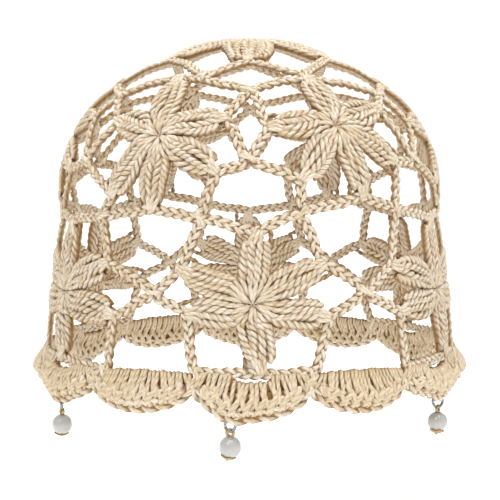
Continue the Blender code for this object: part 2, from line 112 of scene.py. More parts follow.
# Petals of each kind of flower: direction in degrees, clockwise from straight up, and the
# reach as a share of PETAL_REACH
Petal = namedtuple("Petal", "angle reach")
Petals = namedtuple("Petals", "up upper_right lower_right down lower_left upper_left")
PETALS = {
    "top": Petals(Petal(1, 1.52), Petal(60, 1.42), Petal(121, 1.38), Petal(181, 1.50),
                  Petal(239, 1.38), Petal(299, 1.43)),
    "upper": Petals(Petal(-4, 0.98), Petal(66, 0.95), Petal(117, 1.00), Petal(173, 0.99),
                    Petal(226, 1.00), Petal(286, 0.94)),
    "lower": Petals(Petal(2, 0.96), Petal(62, 1.05), Petal(101, 1.08), Petal(171, 1.0),
                    Petal(261, 1.06), Petal(299, 1.05)),
    "upper_1": Petals(Petal(-9, 0.88), Petal(66, 0.95), Petal(117, 1.03), Petal(164, 1.02),
                      Petal(220, 0.95), Petal(272, 0.92)),
    "upper_6": Petals(Petal(-3, 1.08), Petal(69, 0.92), Petal(116, 1.01), Petal(178, 1.00),
                      Petal(221, 1.06), Petal(290, 0.84)),
    "lower_1": Petals(Petal(3, 0.89), Petal(59, 1.08), Petal(99, 1.01), Petal(173, 1.0),
                      Petal(262, 0.84), Petal(296, 1.05)),
    "lower_2": Petals(Petal(2, 0.96), Petal(62, 1.05), Petal(101, 1.05), Petal(171, 1.0),
                      Petal(258, 0.98), Petal(294, 1.14)),
    "lower_6": Petals(Petal(2, 0.96), Petal(63, 1.12), Petal(99, 1.27), Petal(172, 1.0),
                      Petal(261, 1.04), Petal(299, 1.05)),
}

# Drops are shares of the drop from the top of the crown to the rim
Flower = namedtuple("Flower", "name tier azimuth drop")
TOP_FLOWER = Flower("top", "top", 0, 0.040)
UPPER_FLOWERS = (
    Flower("upper_1", "upper", 26.5, 0.475),
    Flower("upper_2", "upper", 85, 0.488),
    Flower("upper_3", "upper", 149, 0.492),
    Flower("upper_4", "upper", 210, 0.486),
    Flower("upper_5", "upper", 276, 0.490),
    Flower("upper_6", "upper", 332.9, 0.499),
)
LOWER_FLOWERS = (
    Flower("lower_1", "lower", 0.8, 0.850),
    Flower("lower_2", "lower", 61.5, 0.843),
    Flower("lower_3", "lower", 120, 0.849),
    Flower("lower_4", "lower", 180, 0.853),
    Flower("lower_5", "lower", 240, 0.847),
    Flower("lower_6", "lower", 299.5, 0.848),
)

# Joints between the rings: their drops as shares too, how many degrees each side joint of the
# lower rings is turned from halfway, and how far each joint of the top ring lies from the tip of
# the upper ring below it, as a share of the way to that ring's corner
TIER_COUNT = len(UPPER_FLOWERS)
HIGH_JOINT_DROP = 0.385
LOW_JOINT_DROP = 0.550
SIDE_JOINT_DROP = 0.830
SIDE_JOINT_TURNS = (0, 0, 1, -1, 0, 5)
TOP_JOINT_SHIFTS = (0.02, 0.10, 0.05, 0.12, 0.04, 0.36)

# Shells of the edge: azimuth of the notch where each starts, how much lower the rim hangs
# there as a share of NOTCH_HEIGHT, how many degrees beside it the chain above has its foot,
# and the shell's height as a share of SHELL_HEIGHT
Shell = namedtuple("Shell", "start sag foot height")
SHELLS = (
    Shell(-13.5, 0.00, 1.0, 1.03), Shell(14.5, 0.06, 0.6, 0.90), Shell(41.5, 0.26, 2.2, 0.84),
    Shell(73, 0.18, 0.4, 0.92), Shell(105, 0.06, -0.8, 0.98), Shell(135, 0.14, 0.5, 0.92),
    Shell(165, 0.00, -0.4, 1.00), Shell(196, 0.07, 0.7, 0.91), Shell(225, 0.17, -0.6, 0.97),
    Shell(255, 0.06, 0.4, 0.92), Shell(287, 0.18, -0.5, 0.90), Shell(318, 0.29, 3.0, 0.89),
)

# Bead drops: the shell that each hangs on, and its place from notch to notch
Drop = namedtuple("Drop", "shell place")
DROPS = (Drop(0, 0.32), Drop(2, 0.46), Drop(4, 0.52), Drop(6, 0.47), Drop(8, 0.50), Drop(10, 0.56))

# A petal from the notches at its sides to its tip: share of that way, and half width there as
# a share of what runs from the notch to half of PETAL_WIDTH. The growths are powers of the
# flower's size that its notches and tips follow.
Station = namedtuple("Station", "way width")
PETAL_STATIONS = (Station(0.33, 1.0), Station(0.75, 0.87))
TIP_HALF_WIDTH = 0.0034
NOTCH_GROWTH = 1.5
BLUNT_GROWTH = 2.0

# Yarn: how far apart its points lie, its plies and how deep their grooves are, the heights off
# the knit's middle where a strand starts to leave the painted shade of the hollows and where it
# is out of it, the loops of yarn round the knit, and the flat cores that close it
YARN_STEP = 0.0008
PLIES = 3
CORNERS_PER_PLY = 2
PLAIN_CORNERS = 10
PLY_PITCH = 0.0095
PLY_DEPTH = 0.13
HOLLOW_DEPTH = 0.0003
OPEN_HEIGHT = 0.0017
LOOP_FLATNESS = 0.6
LOOP_LENGTH = 2.2
LEAST_LOOP_POINTS = 16
CORE_HALF_THICKNESS = 0.0003
# The flat cores take a low tint, painted shade that darkens them further
CORE_SHADE_TINT = 0.2

# Chains: three strands plaited flat, with thicker yarn along the edge. Thicknesses and EDGE_WIDTH
# are shares of the yarn's and the chain's, windows are the points that a bend is rounded over.
BRAID_LEGS = 3
BRAID_PITCH = 0.0097
BRAID_LIFT = 0.00055
# A chain's strands count as lying further out of the hollows, so the painted shade darkens them
# less
BRAID_SHADE_RELIEF = 1.6
RING_THICKNESS = 1.1
ROW_THICKNESS = 1.2
EDGE_THICKNESS = 1.25
EDGE_WIDTH = 1.13
CORNER_WINDOW = 7
HAND_WOBBLE = 0.00020
WOBBLE_WAVES = (7, 11, 17)

# Rows of a petal: each has its strands on top of one another up to where it is SPOKE_PITCH
# wide, and they are wound into a rope from where it is ROPE_WIDTH wide. A sink is how far a row
# lies below the others, at its start and where rows are crowded. PHASE_SHIFT is in radians.
ROW_WIDTH = 0.0033
ROW_SPREAD = 0.94
ROW_YARN = 1.14
ROW_SHORTENING = 0.09
OUTER_ROW = 0.6
OUTER_START = 0.0024
INNER_START = 0.0003
SPOKE_PITCH = 0.0014
SPOKE_FILL = 0.60
THINNEST_SPOKE = 0.35
CROWDED_PITCH = 0.0008
ROPE_WIDTH = 0.0027
ROPE_STRANDS = 3
ROPE_PITCH = 0.0084
ROPE_PITCHES = (0.85, 1.15)
ROPE_OVERLAP = 1.36
ROPE_SWAYS = (0.0002, 0.0018)
ROPE_RISE = 0.85
SIDE_FALL = 0.5
START_SINK = 0.0009
START_LENGTH = 0.0020
CROWD_SINK = 0.0010
LEFT_HANDED = 0.2
PHASE_SHIFT = 0.25

# Unevenness of the hand along a row: how much, and the length of one radian of its wave. A row
# wanders by metres, swings by a share of its width and is tightened by radians of its winding.
Unevenness = namedtuple("Unevenness", "amount length")
WANDER = Unevenness(0.0004, 0.0036)
SWING = Unevenness(0.12, 0.0031)
TENSION = Unevenness(0.9, 0.0047)

# Stitches that close a petal's tip round the chain, and the loop from its shoulder to the chain
TIES = (-1, 0, 1)
TIE_POINTS = 12
TIE_SLANT = 0.0008
TIE_FAN = (2.6, 1.2)
TIE_STARTS = (0.0022, 0.0034)
TIE_OVERLAP = 0.0004
TIE_HEIGHT = 0.0013
LOOPLET_START = 0.0040
LOOPLET_SHOULDER = 0.85
LOOPLET_REACH = 0.0052
LOOPLET_BULGE = 0.0011
LOOPLET_PITCH = 0.0055
LOOPLET_SWAY = 0.00045
LOOPLET_RISE = 0.0004
LOOPLET_RADIUS = 0.00062
LOOPLET_POINTS = 14

# Core of a petal, and the plug that closes a flower's centre; both are flat inner legs drawn in
# painted shade, which makes the plug the dark pit at the centre
CORE_START = 0.0015
CORE_END = 0.93
CORE_POINTS = 20
CORE_WIDTH = 1.04
CORE_NARROWING = 0.26
CORE_NARROWS = (0.32, 0.55)
CORE_SINK = 0.0004
PLUG_RADIUS = 0.0016
PLUG_SINK = 0.0011
PLUG_POINTS = 8

# Knots that tie a chain ring to its neighbour
KNOT_POINTS = 8
KNOT_LEANS = (-0.0004, 0.0018)
KNOT_BACK = 0.0015
KNOT_FRONT = 0.0010
KNOT_HEIGHT = 0.0014

# Shells: posts that fan out from the rim, and slanted wraps in pairs over their feet. A head,
# a foot and STITCH_SHIFT are shares of a stitch's own width, POST_FEET are depths, yarn is a
# share of its radius, and heights are shares of LOOP_HEIGHT
LOOP_HEIGHT = 0.0011
# The shells draw their tint from a range below the other stitches', a painted shade that makes the
# edge darker
SHELL_SHADE_TINT = -0.1
STITCH_SHIFT = 0.15
POST_FOOT_SHIFT = 1.0
POST_FOOT_FAN = 1.10
POST_TOP_FAN = 0.97
POST_TOP_SHIFT = 0.025
POST_FEET = (0.42, 0.56)
POST_YARN = (0.94, 1.10)
POST_HEIGHTS = (0.8, 1.3)
WRAP_HEAD = 0.60
WRAP_FOOT = 0.22
WRAP_TOP = 0.33
WRAP_STEP = 0.06
WRAP_TOP_SHIFT = 0.06
WRAP_BOTTOM = 0.76
WRAP_YARN = (1.18, 1.34)
WRAP_HEIGHTS = {-1: 1.50, 1: 1.90}
LEAST_WRAP_BOW = 0.3
PATH_POINTS = 12

# Top of a shell: over the rim chain, but below the slit where a flower stands above it
PLAIN_TOP = -0.17
SLIT_TOP = 0.01
SLIT_RISE = 0.21
SLIT_START = 0.82
SLIT_END = 0.92

# Chains along a shell's edge, and the flat core behind its stitches, drawn in painted shade
EDGE_LIFT = 0.0004
EDGE_POINTS = 100
EDGE_RISE = 0.0016
EDGE_RISE_WIDTH = 0.07
EDGE_WINDOW = 5
INNER_DEPTH = 0.6
ROW_INSET = 0.0034
ROW_LIFT = 0.0006
ROW_MARGIN = 0.07
SHELL_CORE_ENDS = (0.02, 0.98)
SHELL_CORE_POINTS = 24
SHELL_CORE_TOP = 0.04
SHELL_CORE_DEPTHS = ((0.24, 0.56), (0.50, 0.91))
SHELL_CORE_FIRST_END = 0.30

# Bead drops: the ring's ends and the eye's are angles round them, spreads and tilts are angles
# from straight down, and a play is the room left round the pin. PIN_HEAD_END is in radians.
RING_RADIUS = 0.0023
RING_WIRE = 0.00058
RING_TURN = 60
RING_ENDS = (-160, 194)
RING_POINTS = 60
RING_OPENING = 0.00012
EYE_RADIUS = 0.0012
EYE_ENDS = (-48, 262)
EYE_POINTS = 34
SHANK_POINTS = 8
PIN_WIRE = 0.00060
PIN_HEAD = 0.0005
PIN_HEAD_SIDES = 24
PIN_HEAD_ROWS = 10
PIN_HEAD_END = 0.05
CUP_SPREAD = 38
CUP_LOBES = 5
CUP_LOBE_DEPTH = 5
CUP_TILT = -14
CUP_SIDES = 60
CUP_ROWS = 9
CUP_MIDDLE = 0.06
CUP_PLAY = 0.00006
CUP_THICKNESS = 0.00055
CUP_DOME = 0.0002
BEAD_RADIUS = 0.0040
BEAD_SIDES = 48
BEAD_ROWS = 32
HOLE_PLAY = 1.3
HOLE_TAPER = 0.8
HOLE_SHORTENING = 0.96

# Sizes of the materials' patterns. Cotton fibres are 0.02 mm thick and the drawing marks of a
# wire are as fine, too fine to show. The fibres are drawn in bundles of a third of a millimetre,
# 16 round the yarn, and the marks 0.4 mm long. A patch is 14 mm wide, a worn spot 0.8 mm and a
# cloud in the jade 4 mm.
FIBRE_LENGTH = 0.0020
BUNDLES_ROUND = 16
FIBRE_RELIEF = 0.0003
DRAWING_MARK = 0.0004
PATCH_SIZE = 1 / 70
WEAR_SPOT = 1 / 1200
JADE_CLOUD = 1 / 260

# Painted shade: how much lighter the plies' ridges are drawn than their grooves, and how much of
# the hollows' painted brown shows
PLY_PAINTED_SHADE = 0.9
HOLLOW_SHADE = 0.95

# A colour mix has sockets for each type of data, and these are the numbers of its colours
FIRST_COLOUR, SECOND_COLOUR, MIXED_COLOUR = 6, 7, 2

# Studio: a lamp's size is its width and its power is in watts, and they all face LIGHT_AIM
CAMERA_DISTANCE = 0.5
CAMERA_ELEVATION = 4.0
CAMERA_AIM = (0.00015, 0.0, -0.0877)
CAMERA_LENS = 82.57
LIGHT_AIM = (0, 0, -0.08)
Lamp = namedtuple("Lamp", "name place size power")
LAMPS = (
    Lamp("key", (-0.5, -0.9, 1.0), 0.34, 3.4),
    Lamp("fill", (0.9, -0.9, 0.25), 1.0, 1.2),
    Lamp("top", (0.1, -0.2, 1.2), 0.8, 12.4),
)
SKY_STRENGTH = 0.55
BACKLIGHT = 0.38
FLOOR_DROP = 0.03
SWEEP_FRONT = -2.0
SWEEP_BACK = 1.6
SWEEP_BEND = 0.8
SWEEP_TOP = 2.6
SWEEP_HALF_WIDTH = 2.4
SWEEP_STEPS = 13

# A strand of yarn: the points of its line, which way its section is turned, which way is out
# of the knit, how far it lies off the knit's middle, its two radii, whether its ends meet, its
# plies and tint, and how far out of the hollows it counts beside a full strand when its painted
# shade is found. A surface is what a strand adds to a mesh, the painted shade of its hollows too.
Strand = namedtuple(
    "Strand", "points facing normals heights side_radii up_radii closed plies tint relief")
Surface = namedtuple("Surface", "verts quads caps maps tint hollow")


def crown_radius(height):
    """Radius of the knit at a height: a full dome down to the brow, then a flare."""
    height = np.asarray(height, float)
    rise = np.clip((height - BROW_HEIGHT) / BROW_DEPTH, 0, 1)
    dome = CROWN_RADIUS * (1 - rise ** SHOULDER_FULLNESS) ** (1 / TOP_FULLNESS)
    flare = (RIM_RADIUS - CROWN_RADIUS) / (BROW_HEIGHT - RIM_HEIGHT)
    return np.where(height > BROW_HEIGHT, dome, CROWN_RADIUS + flare * (BROW_HEIGHT - height))


def trace_meridian():
    """Drops, radii and heights along the knit, from the top to below the shells."""
    steps = 600
    dome = BROW_HEIGHT + BROW_DEPTH * np.sin(np.linspace(math.pi / 2, 0, steps))
    wall = np.linspace(BROW_HEIGHT, RIM_HEIGHT - 2 * SHELL_HEIGHT, steps)[1:]
    heights = np.concatenate([dome, wall])
    radii = crown_radius(heights)
    lengths = np.hypot(np.diff(radii), np.diff(heights))
    return np.concatenate([[0], np.cumsum(lengths)]), radii, heights


DROP_TABLE, RADIUS_TABLE, HEIGHT_TABLE = trace_meridian()
RIM_DROP = float(np.interp(-RIM_HEIGHT, -HEIGHT_TABLE, DROP_TABLE))


def unit(vectors):
    """Vectors at length one."""
    return vectors / np.maximum(np.linalg.norm(vectors, axis=-1, keepdims=True), 1e-12)


def outward(azimuth, drop):
    """Directions that point straight out of the knit."""
    above, below = drop - CHAIN_RADIUS / 2, drop + CHAIN_RADIUS / 2
    side = np.interp(above, DROP_TABLE, HEIGHT_TABLE) - np.interp(below, DROP_TABLE, HEIGHT_TABLE)
    up = np.interp(below, DROP_TABLE, RADIUS_TABLE) - np.interp(above, DROP_TABLE, RADIUS_TABLE)
    turn = np.radians(azimuth)
    return unit(np.stack([side * np.sin(turn), -side * np.cos(turn), up + 0 * turn], axis=-1))


def on_crown(azimuth, drop, lift=0.0):
    """Points of the knit at azimuths and drops, lifted off its middle."""
    azimuth, drop = np.broadcast_arrays(np.asarray(azimuth, float), np.asarray(drop, float))
    radius = np.interp(drop, DROP_TABLE, RADIUS_TABLE)
    height = np.interp(drop, DROP_TABLE, HEIGHT_TABLE)
    turn = np.radians(azimuth)
    points = np.stack([radius * np.sin(turn), -radius * np.cos(turn), height], axis=-1)
    return points + outward(azimuth, drop) * np.asarray(lift)[..., None]


def crown_normals(points):
    """Outward directions at points of the knit."""
    azimuth = np.degrees(np.arctan2(points[..., 0], -points[..., 1]))
    return outward(azimuth, np.interp(-points[..., 2], -HEIGHT_TABLE, DROP_TABLE))


def snap(points, centre, normal):
    """The points of the knit that are seen through points from deep under a flower."""
    anchor = centre - normal * CROWN_RADIUS
    low, high, halvings = np.full(points.shape[:-1], 0.5), np.full(points.shape[:-1], 1.6), 40
    for _ in range(halvings):
        share = (low + high) / 2
        test = anchor + (points - anchor) * share[..., None]
        below_top = test[..., 2] < TOP_HEIGHT
        inside = below_top & (np.hypot(test[..., 0], test[..., 1]) < crown_radius(test[..., 2]))
        low, high = np.where(inside, share, low), np.where(inside, high, share)
    return anchor + (points - anchor) * low[..., None]


class Motif:
    """One flower's frame on the knit, its petals and the joints around it."""

    def __init__(self, flower):
        self.flower = flower
        self.name = flower.name
        self.azimuth = flower.azimuth
        self.drop = flower.drop * RIM_DROP
        self.centre = on_crown(self.azimuth, self.drop)
        self.normal = outward(self.azimuth, self.drop)
        turn = math.radians(self.azimuth)
        self.right = np.array([math.cos(turn), math.sin(turn), 0])
        self.up = np.cross(self.normal, self.right)
        petals = PETALS.get(flower.name, PETALS[flower.tier])
        self.angles = [petal.angle for petal in petals]
        self.reaches = [petal.reach * PETAL_REACH for petal in petals]
        self.size = sum(petal.reach for petal in petals) / len(petals)
        following = self.angles[1:] + self.angles[:1]
        self.openings = [(after - angle) % 360 for angle, after in zip(self.angles, following)]
        self.corners = []

    def spot(self, angle, reach, across=0.0):
        """Points of the knit along a direction from the flower's centre, and beside it."""
        turn = np.radians(angle)
        along = self.right * np.sin(turn) + self.up * np.cos(turn)
        beside = self.right * np.cos(turn) - self.up * np.sin(turn)
        reach, across = np.broadcast_arrays(np.asarray(reach, float), np.asarray(across, float))
        flat = along * reach[..., None] + beside * across[..., None]
        return snap(self.centre + flat, self.centre, self.normal)

    def ring_tips(self):
        """Where the chain ring passes the end of each petal."""
        petals = zip(self.angles, self.reaches)
        return [self.spot(angle, reach + TIP_SPACING) for angle, reach in petals]


def next_shell(index):
    """The shell after one, round the cap."""
    return SHELLS[(index + 1) % len(SHELLS)]


def rim_drop(index, place):
    """Drop of the rim over a shell, at a place from notch to notch."""
    sag = SHELLS[index].sag
    return RIM_DROP + NOTCH_HEIGHT * (sag + (next_shell(index).sag - sag) * place)


def shell_width(index):
    """Width of a shell, in degrees."""
    return (next_shell(index).start - SHELLS[index].start) % 360


def fit_down_petal(motif):
    """A lower flower's last petal fits between its centre and the chain along the rim."""
    shell = 2 * LOWER_FLOWERS.index(motif.flower)
    room = rim_drop(shell, 0.5) - motif.drop - CHAIN_RADIUS - GAP - TIP_SPACING
    down = Petals._fields.index("down")
    motif.reaches[down] = room / abs(math.cos(math.radians(motif.angles[down])))


def middle(first, second, drop=None, turn=0):
    """Joint between two neighbours: halfway between them, or at a drop of its own."""
    gap = (second.azimuth - first.azimuth + 180) % 360 - 180
    if drop is None:
        drop = (first.drop + second.drop) / 2
    return on_crown(first.azimuth + gap / 2 + turn, drop)


def joint_sides(joint, motif, neighbour, spacing):
    """The two points where a motif's ring runs beside its neighbour's at their joint."""
    normal = crown_normals(joint)
    towards = motif.centre - neighbour
    towards = unit(towards - normal * towards.dot(normal))
    along = np.cross(normal, towards) * JOINT_HALF_LENGTH
    base = joint + towards * spacing
    return base - along, base + along


def upper_corners(index, motifs):
    """Corners of an upper ring, clockwise from the upper right."""
    own = motifs["upper"][index]
    right = motifs["upper"][(index + 1) % TIER_COUNT]
    left = motifs["upper"][index - 1]
    below_right = motifs["lower"][(index + 1) % TIER_COUNT]
    below_left = motifs["lower"][index]
    high, low = HIGH_JOINT_DROP * RIM_DROP, LOW_JOINT_DROP * RIM_DROP
    joints = (
        (middle(own, right, high), right), (middle(own, right, low), right),
        (middle(own, below_right), below_right), (middle(own, below_left), below_left),
        (middle(own, left, low), left), (middle(own, left, high), left),
    )
    return [joint_sides(joint, own, other.centre, CHAIN_SPACING / 2) for joint, other in joints]


def lower_corners(index, motifs):
    """Corners of a lower ring, clockwise from the upper right; two stand on the rim."""
    own = motifs["lower"][index]
    right = motifs["lower"][(index + 1) % TIER_COUNT]
    left = motifs["lower"][index - 1]
    above_right = motifs["upper"][index]
    above_left = motifs["upper"][index - 1]
    side = SIDE_JOINT_DROP * RIM_DROP
    turns = SIDE_JOINT_TURNS[index], SIDE_JOINT_TURNS[index - 1]
    corners = [
        joint_sides(middle(own, above_right), own, above_right.centre, CHAIN_SPACING / 2),
        joint_sides(middle(own, right, side, turns[0]), own, right.centre, CHAIN_SPACING / 2),
    ]
    for notch in (2 * index + 1, 2 * index):
        azimuth = SHELLS[notch].start + SHELLS[notch].foot
        turn = math.radians(azimuth)
        foot = on_crown(azimuth, rim_drop(notch, 0) - CHAIN_RADIUS - GAP)
        across = np.array([math.cos(turn), math.sin(turn), 0]) * JOINT_HALF_LENGTH
        corners.append((foot - across, foot + across))
    corners += [
        joint_sides(middle(own, left, side, turns[1]), own, left.centre, CHAIN_SPACING / 2),
        joint_sides(middle(own, above_left), own, above_left.centre, CHAIN_SPACING / 2),
    ]
    return corners


def top_corners(motifs):
    """Corners of the top ring, clockwise; each lies beside the chain over an upper flower."""
    top = motifs["top"][0]
    corners = []
    for step in range(TIER_COUNT):
        index = (TIER_COUNT // 2 - 1 - step) % TIER_COUNT
        upper = motifs["upper"][index]
        tip = upper.ring_tips()[0]
        joint = tip + (upper.corners[0][0] - tip) * TOP_JOINT_SHIFTS[index]
        joint = snap(joint, upper.centre, upper.normal)
        corners.append(joint_sides(joint, top, upper.centre, CHAIN_SPACING))
    return corners


def lay_out_motifs():
    """All motifs with their corners, found from their neighbours."""
    motifs = {
        "top": [Motif(TOP_FLOWER)],
        "upper": [Motif(flower) for flower in UPPER_FLOWERS],
        "lower": [Motif(flower) for flower in LOWER_FLOWERS],
    }
    for motif in motifs["lower"]:
        fit_down_petal(motif)
    for index in range(TIER_COUNT):
        motifs["upper"][index].corners = upper_corners(index, motifs)
        motifs["lower"][index].corners = lower_corners(index, motifs)
    motifs["top"][0].corners = top_corners(motifs)
    return [motif for tier in motifs.values() for motif in tier]


MOTIFS = lay_out_motifs()


def ring_route(motif):
    """Closed route of a chain ring: past each petal tip, out to each corner and back."""
    tips = motif.ring_tips()
    route = []
    for index, tip in enumerate(tips):
        following = tips[(index + 1) % len(tips)]
        first, second = motif.corners[index]
        if (second - first).dot(following - tip) < 0:
            first, second = second, first
        halfway_out, halfway_back = (tip + first) / 2, (second + following) / 2
        route += [tip, snap(halfway_out, motif.centre, motif.normal), first, second]
        route.append(snap(halfway_back, motif.centre, motif.normal))
    return np.array(route)


def shell_point(index, place, depth):
    """Points of a shell: place from notch to notch, and depth from top to edge."""
    place, depth = np.broadcast_arrays(np.asarray(place, float), np.asarray(depth, float))
    half_gap = math.degrees(GAP / 2 / RIM_RADIUS)
    azimuth = SHELLS[index].start + half_gap + (shell_width(index) - 2 * half_gap) * place
    bow = np.sin(math.pi * np.clip(place, 0, 1))
    under_flower = index % 2 == 0
    rim = rim_drop(index, place)
    top = rim + (SHELL_TOP_DIP * bow ** 2 if under_flower else 0)
    height = SHELL_HEIGHT * SHELLS[index].height
    bottom = rim + NOTCH_HEIGHT + (height - NOTCH_HEIGHT) * bow ** SCALLOP_FULLNESS
    for drop in DROPS:
        if drop.shell == index:
            nearness = 1 - ((place - drop.place) / DROP_PULL_WIDTH) ** 2
            bottom = bottom + DROP_PULL * np.maximum(0, nearness)
    puff = SHELL_PUFF * np.sin(math.pi * np.clip(depth, 0, 1)) * bow
    return on_crown(azimuth, top + (bottom - top) * depth, puff)


def smooth_step(value, start, end):
    """From 0 to 1 between two values, with soft ends."""
    share = np.clip((value - start) / (end - start), 0, 1)
    return share * share * (3 - 2 * share)


def lengths_along(points):
    """How far along a line each of its points lies."""
    return np.concatenate([[0], np.cumsum(np.linalg.norm(np.diff(points, axis=0), axis=1))])


def whole_length(points, closed):
    """Length of a line, with the way back to its start where its ends meet."""
    return lengths_along(points)[-1] + (np.linalg.norm(points[0] - points[-1]) if closed else 0)


def points_at(places, points):
    """Points of a line at lengths along it."""
    lengths = lengths_along(points)
    return np.stack([np.interp(places, lengths, points[:, axis]) for axis in range(3)], axis=-1)


def resample(points, step, closed=False):
    """Points at an even spacing along a line."""
    if closed:
        points = np.vstack([points, points[:1]])
    total = lengths_along(points)[-1]
    places = np.linspace(0, total, max(4, int(round(total / step))) + 1)
    return points_at(places[:-1] if closed else places, points)


def soften(points, window, closed=True):
    """Round the corners of an evenly sampled line by averaging each point's neighbours."""
    kernel = np.hanning(window + 2)[1:-1]
    kernel /= kernel.sum()
    half = window // 2
    if closed:
        before, after = points[-half:], points[:half]
    else:
        before, after = np.repeat(points[:1], half, 0), np.repeat(points[-1:], half, 0)
    padded = np.vstack([before, points, after])
    return np.stack([np.convolve(padded[:, axis], kernel, "valid") for axis in range(3)], axis=-1)


def directions(points, closed):
    """Directions along a line at each of its points."""
    if closed:
        return unit(np.roll(points, -1, axis=0) - np.roll(points, 1, axis=0))
    return unit(np.gradient(points, axis=0))


def strand_surface(strand):
    """The skin of one strand of yarn: a section that turns along it with the twist of the plies."""
    points, count = strand.points, len(strand.points)
    along = directions(points, strand.closed)
    side = unit(np.cross(along, strand.facing))
    up = np.cross(side, along)
    lengths = lengths_along(points)
    sides, ridge, twist, shift = PLAIN_CORNERS, np.ones(PLAIN_CORNERS), np.zeros(count), 0
    if strand.plies:
        sides = CORNERS_PER_PLY * strand.plies
        ridge = np.where(np.arange(sides) % CORNERS_PER_PLY == 0, 1.0, 1 - PLY_DEPTH)
        total = whole_length(points, strand.closed)
        pitch = total / max(1, round(total / PLY_PITCH * strand.plies)) * strand.plies
        twist = 2 * math.pi * lengths / pitch
        shift = round(total / pitch * sides) if strand.closed else 0
    angle = (2 * math.pi * np.arange(sides) / sides)[None, :] - twist[:, None]
    reach_side = strand.side_radii[:, None] * ridge * np.cos(angle)
    reach_up = strand.up_radii[:, None] * ridge * np.sin(angle)
    section = side[:, None] * reach_side[..., None] + up[:, None] * reach_up[..., None]
    # Painted shade: the nearer a point of the skin lies to the knit's middle, the more of the
    # hollows' brown it is drawn with
    heights = strand.heights[:, None] + (section * strand.normals[:, None]).sum(axis=-1)
    heights *= np.broadcast_to(strand.relief, (count,))[:, None]
    hollow = 1 - smooth_step(np.abs(heights), HOLLOW_DEPTH, OPEN_HEIGHT)
    quads, caps, maps = strand_faces(strand, lengths, sides, shift)
    verts, tint = (points[:, None] + section).reshape(-1, 3), np.full(count * sides, strand.tint)
    return Surface(verts, quads, caps, maps, tint, hollow.ravel())


def strand_faces(strand, lengths, sides, shift):
    """Faces of a strand, its end caps, and the yarn map: metres along it, share of the way round.

    A closed strand's last row meets its first one turned on by a shift of corners.
    """
    points, count = strand.points, len(strand.points)
    rows, corner = np.arange(count if strand.closed else count - 1), np.arange(sides)[None, :]
    own, after = rows[:, None] * sides, ((rows + 1) % count)[:, None] * sides
    shifts = np.zeros((len(rows), 1), int)
    shifts[-1] = shift
    quads = np.stack([
        own + corner, own + (corner + 1) % sides,
        after + (corner + 1 + shifts) % sides, after + (corner + shifts) % sides], axis=-1)
    steps = np.linalg.norm(points[(rows + 1) % count] - points[rows], axis=1)
    start, end, low, high = np.broadcast_arrays(
        lengths[rows, None], (lengths[rows] + steps)[:, None], corner / sides, (corner + 1) / sides)
    maps = np.stack([start, low, start, high, end, high, end, low], axis=-1)
    ends = np.arange(sides)
    caps = [] if strand.closed else [ends[::-1], (count - 1) * sides + ends]
    return quads.reshape(-1, 4), caps, maps.reshape(-1, 2)


def knit_mesh(name, strands):
    """One mesh of many strands: the yarn map, each strand's tint, and painted shade by how deep a
    point lies.
    """
    surfaces = [strand_surface(strand) for strand in strands]
    loops, starts, maps = [], [], []
    base, loop_base = 0, 0
    for surface in surfaces:
        loops.append((surface.quads + base).ravel())
        maps.append(surface.maps)
        starts.append(loop_base + 4 * np.arange(len(surface.quads)))
        loop_base += 4 * len(surface.quads)
        for cap in surface.caps:
            loops.append(cap + base)
            maps.append(np.zeros((len(cap), 2)))
            starts.append(np.array([loop_base]))
            loop_base += len(cap)
        base += len(surface.verts)
    loops, starts, maps = (np.concatenate(parts) for parts in (loops, starts, maps))
    verts = np.concatenate([surface.verts for surface in surfaces])
    mesh = bpy.data.meshes.new(name)
    mesh.vertices.add(len(verts))
    mesh.vertices.foreach_set("co", verts.astype(np.float32).ravel())
    mesh.loops.add(len(loops))
    mesh.loops.foreach_set("vertex_index", loops.astype(np.int32))
    mesh.polygons.add(len(starts))
    mesh.polygons.foreach_set("loop_start", starts.astype(np.int32))
    mesh.update(calc_edges=True)
    mesh.uv_layers.new(name="yarn")
    mesh.uv_layers["yarn"].data.foreach_set("uv", maps.astype(np.float32).ravel())
    for layer in ("tint", "hollow"):
        values = np.concatenate([getattr(surface, layer) for surface in surfaces])
        attribute = mesh.attributes.new(layer, "FLOAT", "POINT")
        attribute.data.foreach_set("value", values.astype(np.float32))
    mesh.shade_smooth()
    return mesh


def plain_strand(points, normals, heights, radius, tint, closed=False, facing=None, relief=1.0):
    """A round strand of yarn of one thickness, or of a thickness for each point."""
    radii = np.broadcast_to(np.asarray(radius, float), (len(points),))
    facing = normals if facing is None else facing
    return Strand(points, facing, normals, heights, radii, radii, closed, PLIES, tint, relief)


def flat_strand(points, lifts, side_radii):
    """The stitches' inner legs, pressed flat between the front and the back of the knit, in painted
    shade.
    """
    normals = crown_normals(points)
    points = points + normals * lifts[:, None]
    up_radii = np.full(len(points), CORE_HALF_THICKNESS)
    return Strand(points, normals, normals, 0 * lifts, side_radii, up_radii,
                  closed=False, plies=0, tint=CORE_SHADE_TINT, relief=1.0)


def braid(route, settings, chance, closed=False, width=1.0, thickness=1.0):
    """Three strands plaited flat, which is what a crochet chain shows from its face."""
    normals = crown_normals(route)
    side = unit(np.cross(directions(route, closed), normals))
    lengths, total = lengths_along(route), whole_length(route, closed)
    turns = max(1, round(total / (BRAID_PITCH * thickness ** 2)))
    radius = settings.yarn_radius * thickness
    sway = settings.chain_width / 2 * width - radius
    strands = []
    for leg in range(BRAID_LEGS):
        phase = 2 * math.pi * (turns * lengths / total + leg / BRAID_LEGS)
        heights = BRAID_LIFT * np.sin(2 * phase)
        points = route + side * (sway * np.sin(phase))[:, None] + normals * heights[:, None]
        # The chain's relief lessens the painted shade of the hollows on its strands
        strands.append(plain_strand(
            points, normals, heights, radius, chance.random(), closed, relief=BRAID_SHADE_RELIEF))
    return strands


